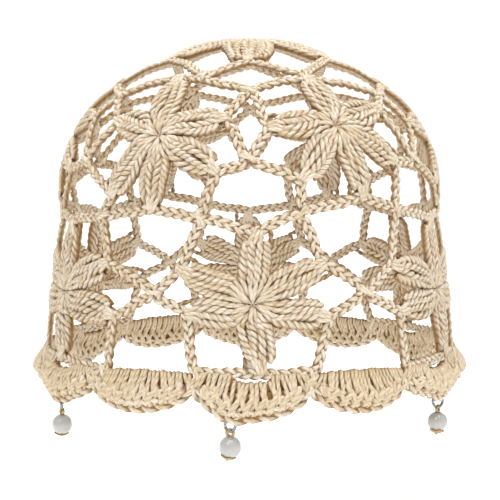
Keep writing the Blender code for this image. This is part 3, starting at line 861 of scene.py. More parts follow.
def rope(line, lifts, phases, sway, rise, radii, chance, legs=2):
    """Strands wound round one another along a line: the post of a tall stitch."""
    normals = crown_normals(line)
    side = unit(np.cross(directions(line, False), normals))
    # Thin strands count as far out of the hollows as full ones, so the painted shade doesn't darken
    # them all over
    relief = radii.max() / radii
    strands = []
    for leg in range(legs):
        turn = phases + 2 * math.pi * leg / legs
        heights = rise * np.sin(turn)
        points = line + normals * (lifts + heights)[:, None] + side * (sway * np.cos(turn))[:, None]
        tint = chance.random()
        strands.append(plain_strand(points, normals, heights, radii, tint, relief=relief))
    return strands


def loop_round(path, height, radius, tint):
    """A loop of yarn round the knit: along a path on its front and back on its inside."""
    total = lengths_along(path)[-1]
    count = max(LEAST_LOOP_POINTS, int(LOOP_LENGTH * total / YARN_STEP))
    turn = 2 * math.pi * np.arange(count) / count
    line = points_at(total * (1 - np.cos(turn)) / 2, path)
    normals = crown_normals(line)
    heights = height * np.sign(np.sin(turn)) * np.abs(np.sin(turn)) ** LOOP_FLATNESS
    across = unit(np.cross(path[-1] - path[0], normals))
    points = line + normals * heights[:, None]
    return plain_strand(points, normals, heights, radius, tint, closed=True, facing=across)


def notch_reach(opening, size):
    """Where two petals part, which is further out the closer they lie to one another."""
    half_opening = math.radians(opening / 2)
    reach = 1 / math.hypot(1 / NOTCH_REACH, math.sin(half_opening) / (THROAT_WIDTH / 2))
    return reach * size ** NOTCH_GROWTH


def petal_halves(motif, petal, distance):
    """Half widths of a petal on its left and its right, at distances from the centre."""
    halves = []
    for opening in (motif.openings[petal - 1], motif.openings[petal]):
        reach = motif.reaches[petal]
        notch, half_opening = notch_reach(opening, motif.size), math.radians(opening / 2)
        out, half = notch * math.cos(half_opening), notch * math.sin(half_opening)
        places, widths = [0.0, out], [0.0, half]
        for station in PETAL_STATIONS:
            places.append(out + (reach - out) * station.way)
            width = half + (motif.size * PETAL_WIDTH / 2 - half) * station.way
            widths.append(width * station.width ** (1 / motif.size ** BLUNT_GROWTH))
        tip = TIP_HALF_WIDTH * motif.size ** BLUNT_GROWTH
        halves.append(np.interp(distance, places + [reach], widths + [tip]))
    return halves


def flower_strands(motif, settings, chance):
    """A flower: rows of tall stitches that start in one ring and close in six tips."""
    strands = []
    rows = round(motif.size * PETAL_WIDTH / ROW_WIDTH)
    for petal in range(len(motif.angles)):
        for row in range(rows):
            place = ROW_SPREAD * ((2 * row + 1) / rows - 1)
            strands += petal_row(motif, petal, place, rows, settings, chance)
        strands.append(petal_core(motif, petal))
        strands += tip_ties(motif, petal, settings, chance)
        strands += looplet(motif, petal, chance)
    # The plug is a flat core in painted shade: the dark pit at the flower's centre
    plug = motif.spot(0, np.linspace(-PLUG_RADIUS, PLUG_RADIUS, PLUG_POINTS))
    size = np.ones(PLUG_POINTS)
    return strands + [flat_strand(plug, -PLUG_SINK * size, PLUG_RADIUS * size)]


def tip_ties(motif, petal, settings, chance):
    """The stitches that draw a petal's tip together and hold it to the chain."""
    strands = []
    end = motif.reaches[petal] + TIP_SPACING + TIE_OVERLAP
    slant = chance.uniform(-TIE_SLANT, TIE_SLANT)
    for tie in TIES:
        across = tie * settings.yarn_radius * np.linspace(*TIE_FAN, TIE_POINTS)
        across = across + slant * np.linspace(-1, 1, TIE_POINTS)
        start = motif.reaches[petal] - chance.uniform(*TIE_STARTS)
        path = motif.spot(motif.angles[petal], np.linspace(start, end, TIE_POINTS), across)
        strands.append(loop_round(path, TIE_HEIGHT, settings.yarn_radius, chance.random()))
    return strands


def uneven(distance, kind, chance):
    """An unevenness of the hand along a row, which starts anywhere in its swing."""
    return kind.amount * np.sin(distance / kind.length + 2 * math.pi * chance.random())


def petal_row(motif, petal, place, rows, settings, chance):
    """One row of stitches: stacked strands out of the ring, wound into a rope further out."""
    angle, reach = motif.angles[petal], motif.reaches[petal]
    end = reach * (1 - ROW_SHORTENING * abs(place)) + CHAIN_RADIUS / 2
    outer = abs(place) > OUTER_ROW
    start = OUTER_START if outer else INNER_START
    distance = np.arange(start, end, YARN_STEP)
    left, right = petal_halves(motif, petal, distance)
    pitch = (left + right) / rows
    spread = smooth_step(pitch, SPOKE_PITCH, ROPE_WIDTH)
    wound = np.maximum.accumulate(spread)
    wander = uneven(distance, WANDER, chance) * wound
    line = motif.spot(angle, distance, (right - left) / 2 + place * (left + right) / 2 + wander)
    full = ROW_YARN * settings.yarn_radius
    room = pitch if outer else pitch * (2 - smooth_step(distance, OUTER_START, 3 * OUTER_START))
    spoke = np.clip(SPOKE_FILL * room, THINNEST_SPOKE * full, full)
    radii = spoke + (full - spoke) * wound * smooth_step(pitch, CROWDED_PITCH, ROPE_WIDTH)
    swing = 1 + uneven(distance, SWING, chance)
    sway = np.clip(ROPE_OVERLAP * swing * pitch / 2 - radii, *ROPE_SWAYS) * wound
    crowding = 1 - np.clip(pitch / ROW_WIDTH, 0, 1)
    puff = petal_puff(distance, end) * (1 - SIDE_FALL * place ** 2)
    sink = START_SINK * (1 - smooth_step(distance - start, 0, START_LENGTH))
    sink = sink + CROWD_SINK * crowding * wound * abs(place)
    hand = -1 if chance.random() < LEFT_HANDED else 1
    turns = np.cumsum(spread) * YARN_STEP / (ROPE_PITCH * chance.uniform(*ROPE_PITCHES))
    tension = uneven(distance, TENSION, chance) * wound
    start_phase = math.pi / 2 + chance.uniform(-PHASE_SHIFT, PHASE_SHIFT)
    phases = start_phase + hand * (2 * math.pi * turns + tension)
    return rope(line, puff - sink, phases, sway, ROPE_RISE * radii, radii, chance, ROPE_STRANDS)


def petal_puff(distance, end):
    """How far the knit bulges out along a petal."""
    return PETAL_PUFF * np.sin(math.pi * np.clip(distance / end, 0, 1))


def petal_core(motif, petal):
    """The inner legs that close a petal between its rows, drawn in painted shade."""
    angle, reach = motif.angles[petal], motif.reaches[petal]
    distance = np.linspace(CORE_START, CORE_END * reach, CORE_POINTS)
    left, right = petal_halves(motif, petal, distance)
    share = CORE_WIDTH - CORE_NARROWING * smooth_step(distance / reach, *CORE_NARROWS)
    line = motif.spot(angle, distance, share * (right - left) / 2)
    lifts = petal_puff(distance, reach) / 2 - CORE_SINK
    return flat_strand(line, lifts, share * (left + right) / 2)


def looplet(motif, petal, chance):
    """The small loop that ties the chain to a petal's shoulder, beside its tip."""
    angle, reach = motif.angles[petal], motif.reaches[petal]
    shoulder = reach - LOOPLET_START
    right = petal_halves(motif, petal, np.array([shoulder]))[1][0]
    start = motif.spot(angle, shoulder, LOOPLET_SHOULDER * right)
    tip = motif.spot(angle, reach + TIP_SPACING)
    corner = (motif.corners[petal][0] + motif.corners[petal][1]) / 2
    end = tip + unit(corner - tip) * LOOPLET_REACH
    bend = (start + end) / 2
    bend = bend + unit(bend - motif.spot(angle, reach)) * LOOPLET_BULGE
    share = np.linspace(0, 1, LOOPLET_POINTS)[:, None]
    line = start * (1 - share) ** 2 + bend * 2 * share * (1 - share) + end * share ** 2
    line = resample(snap(line, motif.centre, motif.normal), YARN_STEP)
    size = np.ones(len(line))
    phases = 2 * math.pi * (np.arange(len(line)) * YARN_STEP / LOOPLET_PITCH + chance.random())
    sway, rise, radii = LOOPLET_SWAY * size, LOOPLET_RISE * size, LOOPLET_RADIUS * size
    return rope(line, 0 * size, phases, sway, rise, radii, chance)


def joint_knot(motif, corner, settings, chance):
    """The stitch that ties a ring to its neighbour where they meet."""
    centre = (corner[0] + corner[1]) / 2
    along = unit(corner[1] - corner[0])
    away = np.cross(along, crown_normals(centre))
    away = away if away.dot(centre - motif.centre) > 0 else -away
    lean = along * chance.uniform(*KNOT_LEANS)
    start = centre - lean - away * KNOT_BACK
    end = centre + lean + away * (CHAIN_SPACING + KNOT_FRONT)
    path = np.linspace(start, end, KNOT_POINTS)
    return loop_round(path, KNOT_HEIGHT, settings.yarn_radius, chance.random())


def chain_strands(motif, settings, chance):
    """A flower's chain ring, a little uneven from stitch to stitch."""
    route = resample(ring_route(motif), YARN_STEP, closed=True)
    route = soften(2 * route - soften(route, CORNER_WINDOW), CORNER_WINDOW)
    way = 2 * math.pi * np.arange(len(route)) / len(route)
    sideways = np.cross(directions(route, True), crown_normals(route))
    for waves in WOBBLE_WAVES:
        wobble = HAND_WOBBLE * np.sin(waves * way + 2 * math.pi * chance.random())
        route = route + sideways * wobble[:, None]
    strands = braid(route, settings, chance, closed=True, thickness=RING_THICKNESS)
    return strands + [joint_knot(motif, corner, settings, chance) for corner in motif.corners]


def shell_top(index, place):
    """Depth where a shell's stitches begin, on the rim chain or below the slit under a flower."""
    if index % 2:
        return np.full_like(place, PLAIN_TOP)
    bow = np.sin(math.pi * np.asarray(place, float))
    return SLIT_TOP - SLIT_RISE * (1 - smooth_step(bow, SLIT_START, SLIT_END))


def shell_strands(index, settings, chance):
    """One scallop: posts from the rim, slanted wraps, two chains along the edge and a core."""
    width = math.radians(shell_width(index)) * RIM_RADIUS
    strands = []
    posts = round(width / settings.post_spacing)
    for post in range(posts):
        strands.append(shell_post(index, post, posts, settings, chance))
    wraps = round(width / settings.wrap_spacing)
    for wrap in range(wraps):
        place = (wrap + 0.5 + chance.uniform(-STITCH_SHIFT, STITCH_SHIFT)) / wraps
        if math.sin(math.pi * place) >= LEAST_WRAP_BOW:
            strands += [shell_wrap(index, place, turn, wraps, settings, chance) for turn in (-1, 1)]
    inset = settings.chain_width * EDGE_WIDTH / 2
    row_route = edge_route(index, (ROW_MARGIN, 1 - ROW_MARGIN), inset + ROW_INSET, ROW_LIFT)
    strands += braid(row_route, settings, chance, width=EDGE_WIDTH, thickness=ROW_THICKNESS)
    route = edge_route(index, (0, 1), inset, EDGE_LIFT)
    strands += braid(route, settings, chance, width=EDGE_WIDTH, thickness=EDGE_THICKNESS)
    return strands + shell_core(index)


def shell_stitch(index, places, depths, height, radius, chance):
    """A loop of yarn straight over a shell, from one place and depth to another."""
    path = shell_point(index, np.linspace(*places, PATH_POINTS), np.linspace(*depths, PATH_POINTS))
    # A low tint: painted shade that darkens the shells
    return loop_round(path, LOOP_HEIGHT * height, radius, SHELL_SHADE_TINT * chance.random())


def shell_post(index, post, posts, settings, chance):
    """One tall stitch, which fans out from the middle of its shell."""
    place = (post + 0.5 + chance.uniform(-STITCH_SHIFT, STITCH_SHIFT)) / posts
    foot = 0.5 + (place - 0.5) * POST_FOOT_FAN
    foot += chance.uniform(-POST_FOOT_SHIFT, POST_FOOT_SHIFT) / posts
    top = 0.5 + (place - 0.5) * POST_TOP_FAN
    high = shell_top(index, top) + chance.uniform(-POST_TOP_SHIFT, POST_TOP_SHIFT)
    depths = high, chance.uniform(*POST_FEET)
    radius = settings.yarn_radius * chance.uniform(*POST_YARN)
    return shell_stitch(index, (top, foot), depths, chance.uniform(*POST_HEIGHTS), radius, chance)


def shell_wrap(index, place, turn, wraps, settings, chance):
    """One of a pair of slanted stitches that cross below the posts."""
    places = place + turn * WRAP_HEAD / wraps, place - turn * WRAP_FOOT / wraps
    top = WRAP_TOP + WRAP_STEP * turn + chance.uniform(-WRAP_TOP_SHIFT, WRAP_TOP_SHIFT)
    radius = settings.yarn_radius * chance.uniform(*WRAP_YARN)
    return shell_stitch(index, places, (top, WRAP_BOTTOM), WRAP_HEIGHTS[turn], radius, chance)


def edge_route(index, ends, inset, lift):
    """Line of a chain along a shell's edge, at an inset from it; it rises at the notches."""
    place = np.linspace(*ends, EDGE_POINTS)
    edge, inner = shell_point(index, place, 1.0), shell_point(index, place, INNER_DEPTH)
    rise = EDGE_RISE * (1 - smooth_step(np.minimum(place, 1 - place), 0, EDGE_RISE_WIDTH))
    route = edge + unit(inner - edge) * (inset + rise)[:, None]
    route = route + crown_normals(route) * lift
    return soften(resample(route, YARN_STEP), EDGE_WINDOW, closed=False)


def shell_core(index):
    """The inner legs that close a shell between its stitches, drawn in painted shade."""
    places = np.linspace(*SHELL_CORE_ENDS, SHELL_CORE_POINTS)
    top, bottom = shell_point(index, places, 0.0), shell_point(index, places, 1.0)
    heights = np.linalg.norm(bottom - top, axis=1)
    strands = []
    first = shell_top(index, places) + SHELL_CORE_TOP, SHELL_CORE_FIRST_END
    for start, end in (first, *SHELL_CORE_DEPTHS):
        line = shell_point(index, places, (start + end) / 2)
        strands.append(flat_strand(line, np.zeros(SHELL_CORE_POINTS), (end - start) / 2 * heights))
    return strands


def to_linear(code):
    """Linear colour of an sRGB hex value."""
    linear = []
    for start in (0, 2, 4):
        value = int(code[start:start + 2], 16) / 255
        linear.append(value / 12.92 if value <= 0.04045 else ((value + 0.055) / 1.055) ** 2.4)
    return tuple(linear)


def add_node(tree, kind, inputs=None, **settings):
    """A node with its settings, and its sockets set to values or linked to other sockets."""
    node = tree.nodes.new(kind)
    for name, value in settings.items():
        setattr(node, name, value)
    for name, value in (inputs or {}).items():
        if isinstance(value, bpy.types.NodeSocket):
            tree.links.new(value, node.inputs[name])
        else:
            node.inputs[name].default_value = value
    return node


def new_material(name):
    """A material and its empty node tree."""
    made = bpy.data.materials.new(name)
    made.use_nodes = True
    made.node_tree.nodes.clear()
    return made, made.node_tree


def cotton_yarn(settings):
    """Undyed plied cotton, spun and loosely twisted: matte, with a soft nap and fine streaks."""
    made, tree = new_material(COTTON)
    place = add_node(tree, "ShaderNodeTexCoord")
    yarn = add_node(tree, "ShaderNodeUVMap", uv_map="yarn")
    # Fibres run along the yarn: their streaks are long that way and narrow round it
    strand_map = add_node(tree, "ShaderNodeMapping", {
        "Vector": yarn.outputs[0], "Scale": (1 / FIBRE_LENGTH, BUNDLES_ROUND, 1)})
    streaks = add_node(tree, "ShaderNodeTexNoise", {
        "Vector": strand_map.outputs[0], "Scale": 1.0, "Detail": 3.0})
    fibres = add_node(tree, "ShaderNodeMapRange", {
        "Value": streaks.outputs[0], "From Min": 0.3, "From Max": 0.7, "To Max": 1.2})
    # Each strand has its own tint, and the cotton is lighter in some patches than in others
    tint = add_node(tree, "ShaderNodeAttribute", attribute_name="tint")
    patches = add_node(tree, "ShaderNodeTexNoise", {
        "Vector": place.outputs["Object"], "Scale": 1 / PATCH_SIZE, "Detail": 2.0})
    shade = add_node(tree, "ShaderNodeMath", {
        0: tint.outputs["Fac"], 1: patches.outputs[0]}, operation="ADD")
    shade = add_node(tree, "ShaderNodeMath", {
        0: shade.outputs[0], 1: fibres.outputs[0]}, operation="ADD")
    # Painted shade: the plies' ridges are drawn lighter and the grooves between them darker; the
    # ridges also stand out in the bump
    around = add_node(tree, "ShaderNodeSeparateXYZ", {"Vector": yarn.outputs[0]})
    turn = add_node(tree, "ShaderNodeMath", {
        0: around.outputs[1], 1: math.pi * PLIES}, operation="MULTIPLY")
    wave = add_node(tree, "ShaderNodeMath", {0: turn.outputs[0]}, operation="COSINE")
    ridge = add_node(tree, "ShaderNodeMath", {0: wave.outputs[0]}, operation="ABSOLUTE")
    ridge_shade = add_node(tree, "ShaderNodeMath", {
        0: ridge.outputs[0], 1: PLY_PAINTED_SHADE}, operation="MULTIPLY")
    shade = add_node(tree, "ShaderNodeMath", {
        0: shade.outputs[0], 1: ridge_shade.outputs[0]}, operation="ADD")
    spread = add_node(tree, "ShaderNodeMapRange", {
        "Value": shade.outputs[0], "From Min": 0.8, "From Max": 2.9})
    colour = add_node(tree, "ShaderNodeMix", {
        "Factor": spread.outputs[0], FIRST_COLOUR: (*settings.yarn_dark, 1),
        SECOND_COLOUR: (*settings.yarn_light, 1)}, data_type="RGBA")
    # Painted shade: the cotton deep between the stitches, where little light reaches, is drawn
    # browner
    hollow = add_node(tree, "ShaderNodeAttribute", attribute_name="hollow")
    depth = add_node(tree, "ShaderNodeMath", {
        0: hollow.outputs["Fac"], 1: HOLLOW_SHADE}, operation="MULTIPLY")
    shaded = add_node(tree, "ShaderNodeMix", {
        "Factor": depth.outputs[0], FIRST_COLOUR: colour.outputs[MIXED_COLOUR],
        SECOND_COLOUR: (*settings.yarn_hollow_shade, 1)}, data_type="RGBA")
    ripple = add_node(tree, "ShaderNodeMath", {0: streaks.outputs[0], 1: 0.6}, operation="MULTIPLY")
    relief = add_node(tree, "ShaderNodeMath", {
        0: ripple.outputs[0], 1: ridge.outputs[0]}, operation="ADD")
    bump = add_node(tree, "ShaderNodeBump", {
        "Height": relief.outputs[0], "Strength": 0.7, "Distance": FIBRE_RELIEF})
    shader = add_node(tree, "ShaderNodeBsdfPrincipled", {
        "Base Color": shaded.outputs[MIXED_COLOUR], "Normal": bump.outputs[0], "Roughness": 0.85,
        "Specular IOR Level": 0.25, "Sheen Weight": 0.12, "Sheen Roughness": 0.5})
    add_node(tree, "ShaderNodeOutputMaterial", {"Surface": shader.outputs[0]})
    return made


def silver_plated_wire(settings):
    """Silver-plated jump ring wire, drawn and bent: bright, with faint drawing marks."""
    made, tree = new_material("silver-plated drawn wire")
    place = add_node(tree, "ShaderNodeTexCoord")
    marks = add_node(tree, "ShaderNodeTexNoise", {
        "Vector": place.outputs["Object"], "Scale": 1 / DRAWING_MARK, "Detail": 3.0})
    rough = add_node(tree, "ShaderNodeMapRange", {
        "Value": marks.outputs[0], "To Min": 0.12, "To Max": 0.32})
    shader = add_node(tree, "ShaderNodeBsdfPrincipled", {
        "Base Color": (*settings.silver, 1), "Metallic": 1.0, "Roughness": rough.outputs[0]})
    add_node(tree, "ShaderNodeOutputMaterial", {"Surface": shader.outputs[0]})
    return made


def gold_plated_wire(settings):
    """Gold-plated brass head pin, drawn and pressed: warm, with a satin wear on its cup."""
    made, tree = new_material("gold-plated brass wire")
    place = add_node(tree, "ShaderNodeTexCoord")
    wear = add_node(tree, "ShaderNodeTexNoise", {
        "Vector": place.outputs["Object"], "Scale": 1 / WEAR_SPOT, "Detail": 3.0})
    worn = [0.72 * value for value in settings.gilt]
    colour = add_node(tree, "ShaderNodeMix", {
        "Factor": wear.outputs[0], FIRST_COLOUR: (*settings.gilt, 1),
        SECOND_COLOUR: (*worn, 1)}, data_type="RGBA")
    rough = add_node(tree, "ShaderNodeMapRange", {
        "Value": wear.outputs[0], "To Min": 0.2, "To Max": 0.45})
    shader = add_node(tree, "ShaderNodeBsdfPrincipled", {
        "Base Color": colour.outputs[MIXED_COLOUR], "Metallic": 1.0, "Roughness": rough.outputs[0]})
    add_node(tree, "ShaderNodeOutputMaterial", {"Surface": shader.outputs[0]})
    return made


def polished_jade(settings):
    """Pale jade, tumbled and polished: milky and translucent, with faint clouds inside."""
    made, tree = new_material("polished pale jade")
    place = add_node(tree, "ShaderNodeTexCoord")
    clouds = add_node(tree, "ShaderNodeTexNoise", {
        "Vector": place.outputs["Object"], "Scale": 1 / JADE_CLOUD, "Detail": 4.0})
    colour = add_node(tree, "ShaderNodeMix", {
        "Factor": clouds.outputs[0], FIRST_COLOUR: (*settings.jade_dark, 1),
        SECOND_COLOUR: (*settings.jade_light, 1)}, data_type="RGBA")
    shader = add_node(tree, "ShaderNodeBsdfPrincipled", {
        "Base Color": colour.outputs[MIXED_COLOUR], "Roughness": 0.25, "IOR": 1.61,
        "Subsurface Weight": 0.6, "Subsurface Radius": (1.0, 1.0, 1.0), "Subsurface Scale": 0.003,
        "Coat Weight": 0.7, "Coat Roughness": 0.03})
    add_node(tree, "ShaderNodeOutputMaterial", {"Surface": shader.outputs[0]})
    return made


def opal_acrylic(settings):
    """Opal acrylic, cast and sanded, lit from behind: white and matte, with no seam or mark."""
    made, tree = new_material("backlit opal acrylic")
    shader = add_node(tree, "ShaderNodeBsdfPrincipled", {
        "Base Color": (*settings.floor_colour, 1), "Roughness": 0.95,
        "Emission Color": (1, 1, 1, 1), "Emission Strength": BACKLIGHT})
    add_node(tree, "ShaderNodeOutputMaterial", {"Surface": shader.outputs[0]})
    return made


def length_setting(name, description, default, least, most):
    """A size of the cap that a user would change."""
    return bpy.props.FloatProperty(name=name, description=description, unit="LENGTH",
                                   default=default, min=least, max=most, precision=5)


def colour_setting(name, description, code):
    """A colour of the cap that a user would change."""
    return bpy.props.FloatVectorProperty(name=name, description=description, subtype="COLOR",
                                         size=3, default=to_linear(code), min=0, max=1)


class CapSettings(bpy.types.PropertyGroup):
    """Sizes and colours of the yarn, the drops and the studio."""

    yarn_radius: length_setting(
        "Yarn radius", "Half the thickness of the cotton yarn", 0.00086, 0.0003, 0.002)
    chain_width: length_setting(
        "Chain width", "Width of a crochet chain across its face", 0.0046, 0.002, 0.008)
    post_spacing: length_setting(
        "Post spacing", "Spacing of the tall stitches in a shell", 0.0016, 0.001, 0.01)
    wrap_spacing: length_setting(
        "Wrap spacing", "Spacing of the slanted wraps in a shell", 0.0044, 0.001, 0.01)
    yarn_light: colour_setting("Light yarn", "Colour of the lightest cotton fibres", "eee3d2")
    yarn_dark: colour_setting("Dark yarn", "Colour of the darkest cotton fibres", "cbb286")
    # Painted shade: the brown that the yarn is drawn in deep between the stitches
    yarn_hollow_shade: colour_setting(
        "Yarn in the hollows", "Colour of the cotton deep between the stitches", "8f672b")
    silver: colour_setting("Silver plate", "Colour of the jump rings", "8f9395")
    gilt: colour_setting("Gold plate", "Colour of the head pins", "c2a677")
    jade_light: colour_setting("Light jade", "Colour of the clouds in the beads", "c3c2be")
    jade_dark: colour_setting("Dark jade", "Colour of the clear parts of the beads", "adada9")
    floor_colour: colour_setting(
        "Studio sweep", "Colour of the acrylic under and round the cap", "f7f6f4")


def add_piece(name, mesh, material, node):
    """An object that stands for a node of the frame and rides with the cap."""
    piece = bpy.data.objects.new(name, mesh)
    bpy.context.scene.collection.objects.link(piece)
    mesh.materials.append(material)
    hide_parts(node)
    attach(piece, BODY)


def crochet(kind, names, subjects, strands_of, first_seed):
    """Knit all the pieces of a kind from one yarn, each with random draws of its own."""
    settings = bpy.context.scene.cap_settings
    yarn = bpy.data.materials.get(COTTON) or cotton_yarn(settings)
    for number, (name, subject) in enumerate(zip(names, subjects)):
        strands = strands_of(subject, settings, np.random.default_rng(first_seed + number))
        mesh = knit_mesh(f"{kind} {name}", strands)
        add_piece(f"knit_{kind}_{name}", mesh, yarn, f"{kind}_{name}")


class CAP_OT_flowers(bpy.types.Operator):
    """Crochet the thirteen six-petal flowers"""

    bl_idname = "crochet_cap.flowers"
    bl_label = "Crochet flowers"

    def execute(self, context):
        crochet("flower", [motif.name for motif in MOTIFS], MOTIFS, flower_strands, 100)
        return {"FINISHED"}


class CAP_OT_chains(bpy.types.Operator):
    """Crochet the chain ring round each flower"""

    bl_idname = "crochet_cap.chains"
    bl_label = "Crochet chains"

    def execute(self, context):
        crochet("chain", [motif.name for motif in MOTIFS], MOTIFS, chain_strands, 200)
        return {"FINISHED"}


class CAP_OT_shells(bpy.types.Operator):
    """Crochet the scalloped edge, shell by shell"""

    bl_idname = "crochet_cap.shells"
    bl_label = "Crochet shells"

    def execute(self, context):
        crochet("shell", range(1, len(SHELLS) + 1), range(len(SHELLS)), shell_strands, 300)
        return {"FINISHED"}


def joined(name, meshes):
    """One smooth mesh of several."""
    shape = bmesh.new()
    for mesh in meshes:
        shape.from_mesh(mesh)
        bpy.data.meshes.remove(mesh)
    made = bpy.data.meshes.new(name)
    shape.to_mesh(made)
    shape.free()
    made.shade_smooth()
    return made


def wire(name, points, facing, radius):
    """A drawn wire along points."""
    size = np.ones(len(points))
    facing = np.broadcast_to(facing, points.shape)
    return knit_mesh(name, [Strand(points, facing, facing, size, radius * size, radius * size,
                                   closed=False, plies=0, tint=0, relief=1.0)])


def turned(name, radii, heights, centre):
    """A closed section turned round an upright axis; the section may change round the turn."""
    sides, count = radii.shape
    turn = np.linspace(0, 2 * math.pi, sides, endpoint=False)[:, None]
    points = np.stack([radii * np.cos(turn), radii * np.sin(turn), heights], axis=-1) + centre
    faces = []
    for side in range(sides):
        first, second = side * count, (side + 1) % sides * count
        for row in range(count):
            after = (row + 1) % count
            faces.append((first + row, second + row, second + after, first + after))
    mesh = bpy.data.meshes.new(name)
    mesh.from_pydata(points.reshape(-1, 3).tolist(), [], faces)
    mesh.shade_smooth()
    return mesh


def node_centre(node):
    """Middle of a node's box."""
    low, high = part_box(node)
    return (np.array(low) + np.array(high)) / 2


def sideways_of(centre):
    """The directions out of the cap and along its edge, at a drop."""
    out = unit(np.array([centre[0], centre[1], 0.0]))
    return out, np.array([-out[1], out[0], 0.0])


def jump_ring(number):
    """A cut ring of silver-plated wire, its ends almost closed."""
    centre = node_centre(f"jump_ring_{number}")
    out, side = sideways_of(centre)
    swing = math.radians(RING_TURN)
    across = out * math.cos(swing) + side * math.sin(swing)
    axis = side * math.cos(swing) - out * math.sin(swing)
    turn = np.linspace(*np.radians(RING_ENDS), RING_POINTS)[:, None]
    points = centre + RING_RADIUS * (across * np.cos(turn) + UP * np.sin(turn))
    return wire("jump ring", points + axis * RING_OPENING * np.sin(turn / 2), axis, RING_WIRE)


def pin_wire(bead, out, side, top):
    """The bent eye of a head pin and its shank down to the bead."""
    eye = top - EYE_RADIUS - PIN_WIRE
    turn = np.radians(np.linspace(*EYE_ENDS, EYE_POINTS))[:, None]
    axis = np.array([bead[0], bead[1], 0])
    loop = axis + UP * eye + EYE_RADIUS * (side * np.cos(turn) + UP * np.sin(turn))
    heights = np.linspace(eye - EYE_RADIUS, bead[2] - BEAD_RADIUS, SHANK_POINTS)[:, None]
    shank = axis + UP * heights
    return wire("pin", np.vstack([loop, shank]), out, PIN_WIRE)


def pin_cup(bead):
    """The scalloped cup under a bead, thicker at its middle, and the pin's head below it."""
    lobes = np.cos(CUP_LOBES * np.linspace(0, 2 * math.pi, CUP_SIDES, endpoint=False))[:, None]
    rim = np.radians(CUP_SPREAD + CUP_LOBE_DEPTH * lobes)
    share = np.linspace(1, CUP_MIDDLE, CUP_ROWS)
    angle = np.concatenate([rim * share, rim * share[::-1]], axis=1)
    inner, outer = BEAD_RADIUS + CUP_PLAY, BEAD_RADIUS + CUP_THICKNESS
    depth = np.concatenate([np.full(CUP_ROWS, inner), outer + CUP_DOME * (1 - share[::-1])])
    cup = turned("cup", depth * np.sin(angle), -depth * np.cos(angle), bead)
    arc = np.linspace(PIN_HEAD_END - math.pi / 2, math.pi / 2 - PIN_HEAD_END, PIN_HEAD_ROWS)
    radii, heights = (np.broadcast_to(PIN_HEAD * row, (PIN_HEAD_SIDES, PIN_HEAD_ROWS))
                      for row in (np.cos(arc), np.sin(arc)))
    return cup, turned("head", radii, heights, bead - UP * (outer + CUP_DOME))


def head_pin(number):
    """A gold-plated pin, whose cup is tilted under the bead."""
    bead = node_centre(f"bead_{number}")
    out, side = sideways_of(bead)
    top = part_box(f"head_pin_{number}")[1][2]
    made = joined("head pin", [pin_wire(bead, out, side, top), *pin_cup(bead)])
    tilt = Matrix.Rotation(math.radians(CUP_TILT), 4, Vector(out))
    move = Matrix.Translation(bead) @ tilt @ Matrix.Translation(-Vector(bead))
    for vertex in made.vertices:
        if vertex.co.z < bead[2] - BEAD_RADIUS / 2:
            vertex.co = move @ vertex.co
    return made


def stone_bead(number):
    """A round bead with its drilled hole."""
    hole = PIN_WIRE * HOLE_PLAY
    start = math.acos(hole / BEAD_RADIUS)
    arc = np.linspace(start, -start, BEAD_ROWS)
    radii = np.concatenate([BEAD_RADIUS * np.cos(arc), [hole * HOLE_TAPER] * 2])
    end = BEAD_RADIUS * math.sin(start) * HOLE_SHORTENING
    heights = np.concatenate([BEAD_RADIUS * np.sin(arc), [-end, end]])
    radii, heights = (np.broadcast_to(row, (BEAD_SIDES, len(row))) for row in (radii, heights))
    return turned("bead", radii, heights, node_centre(f"bead_{number}"))


class CAP_OT_drops(bpy.types.Operator):
    """Bend the jump rings and head pins, and turn the beads"""

    bl_idname = "crochet_cap.drops"
    bl_label = "Hang bead drops"

    def execute(self, context):
        settings = context.scene.cap_settings
        kinds = (
            ("wire_ring", jump_ring, silver_plated_wire(settings), "jump_ring", "silver_wire"),
            ("gilt_pin", head_pin, gold_plated_wire(settings), "head_pin", "gold_wire"),
            ("stone_bead", stone_bead, polished_jade(settings), "bead", "pale_stone"),
        )
        for number in range(1, len(DROPS) + 1):
            for name, shape_of, material, node, slot in kinds:
                add_piece(f"{name}_{number}", shape_of(number), material, f"{node}_{number}")
        return {"FINISHED"}


class CAP_OT_stage(bpy.types.Operator):
    """Set up the acrylic sweep, the soft lights and the camera"""

    bl_idname = "crochet_cap.stage"
    bl_label = "Set up studio"

    def execute(self, context):
        settings = context.scene.cap_settings
        add_sweep(settings)
        add_lights()
        add_camera()
        context.scene.view_settings.view_transform = "Standard"
        return {"FINISHED"}


def add_sweep(settings):
    """A sheet of opal acrylic that lies under the cap and curves up behind it."""
    floor = CAD_BOX[0][2] - FLOOR_DROP
    line = [(SWEEP_FRONT, floor)]
    for turn in np.linspace(0, math.pi / 2, SWEEP_STEPS):
        back, rise = SWEEP_BEND * math.sin(turn), SWEEP_BEND * (1 - math.cos(turn))
        line.append((SWEEP_BACK + back, floor + rise))
    line.append((SWEEP_BACK + SWEEP_BEND, SWEEP_TOP))
    verts = [(x, y, z) for y, z in line for x in (-SWEEP_HALF_WIDTH, SWEEP_HALF_WIDTH)]
    faces = [(2 * row, 2 * row + 1, 2 * row + 3, 2 * row + 2) for row in range(len(line) - 1)]
    mesh = bpy.data.meshes.new("studio sweep")
    mesh.from_pydata(verts, [], faces)
    mesh.shade_smooth()
    mesh.materials.append(opal_acrylic(settings))
    sweep = bpy.data.objects.new("studio_sweep", mesh)
    bpy.context.scene.collection.objects.link(sweep)


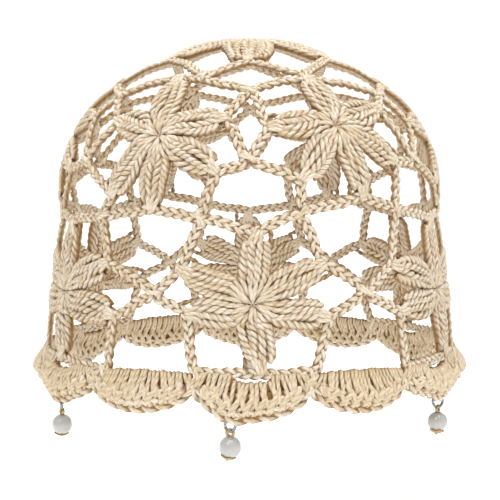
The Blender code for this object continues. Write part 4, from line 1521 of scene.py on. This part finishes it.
def add_lights():
    """Soft lamps from the upper left, the right and above, and a pale sky."""
    for lamp in LAMPS:
        data = bpy.data.lights.new(lamp.name, "AREA")
        data.shape = "DISK"
        data.size = lamp.size
        data.energy = lamp.power
        made = bpy.data.objects.new(lamp.name, data)
        made.location = lamp.place
        towards = Vector(LIGHT_AIM) - made.location
        made.rotation_euler = towards.to_track_quat("-Z", "Y").to_euler()
        bpy.context.scene.collection.objects.link(made)
    world = bpy.data.worlds.new("pale sky")
    world.use_nodes = True
    background = world.node_tree.nodes["Background"]
    background.inputs["Color"].default_value = (1.0, 1.0, 1.0, 1)
    background.inputs["Strength"].default_value = SKY_STRENGTH
    bpy.context.scene.world = world


def add_camera():
    """A long lens, level with the brow and a little above it."""
    data = bpy.data.cameras.new("camera")
    data.lens = CAMERA_LENS
    data.sensor_width = 36.0
    data.clip_start = 0.01
    made = bpy.data.objects.new("camera", data)
    rise = math.radians(CAMERA_ELEVATION)
    aim = Vector(CAMERA_AIM)
    made.location = aim + Vector((0, -math.cos(rise), math.sin(rise))) * CAMERA_DISTANCE
    made.rotation_euler = (math.pi / 2 - rise, 0, 0)
    bpy.context.scene.collection.objects.link(made)
    bpy.context.scene.camera = made


class CAP_PT_panel(bpy.types.Panel):
    """Settings and steps of the crochet cap"""

    bl_idname = "CAP_PT_panel"
    bl_label = "Crochet cap"
    bl_space_type = "VIEW_3D"
    bl_region_type = "UI"
    bl_category = "Crochet cap"

    def draw(self, context):
        settings = context.scene.cap_settings
        for name in CapSettings.__annotations__:
            self.layout.prop(settings, name)
        for operator in OPERATORS:
            self.layout.operator(operator.bl_idname)


OPERATORS = (CAP_OT_flowers, CAP_OT_chains, CAP_OT_shells, CAP_OT_drops, CAP_OT_stage)
CLASSES = (CapSettings, *OPERATORS, CAP_PT_panel)


def register():
    """Register the settings, the operators and the panel."""
    for item in CLASSES:
        bpy.utils.register_class(item)
    bpy.types.Scene.cap_settings = bpy.props.PointerProperty(type=CapSettings)


def unregister():
    """Take the panel, the operators and the settings away again."""
    del bpy.types.Scene.cap_settings
    for item in reversed(CLASSES):
        bpy.utils.unregister_class(item)


def main():
    """Build the looks step by step."""
    register()
    bpy.ops.crochet_cap.flowers()
    bpy.ops.crochet_cap.chains()
    bpy.ops.crochet_cap.shells()
    bpy.ops.crochet_cap.drops()
    bpy.ops.crochet_cap.stage()


if __name__ == "__main__":
    main()
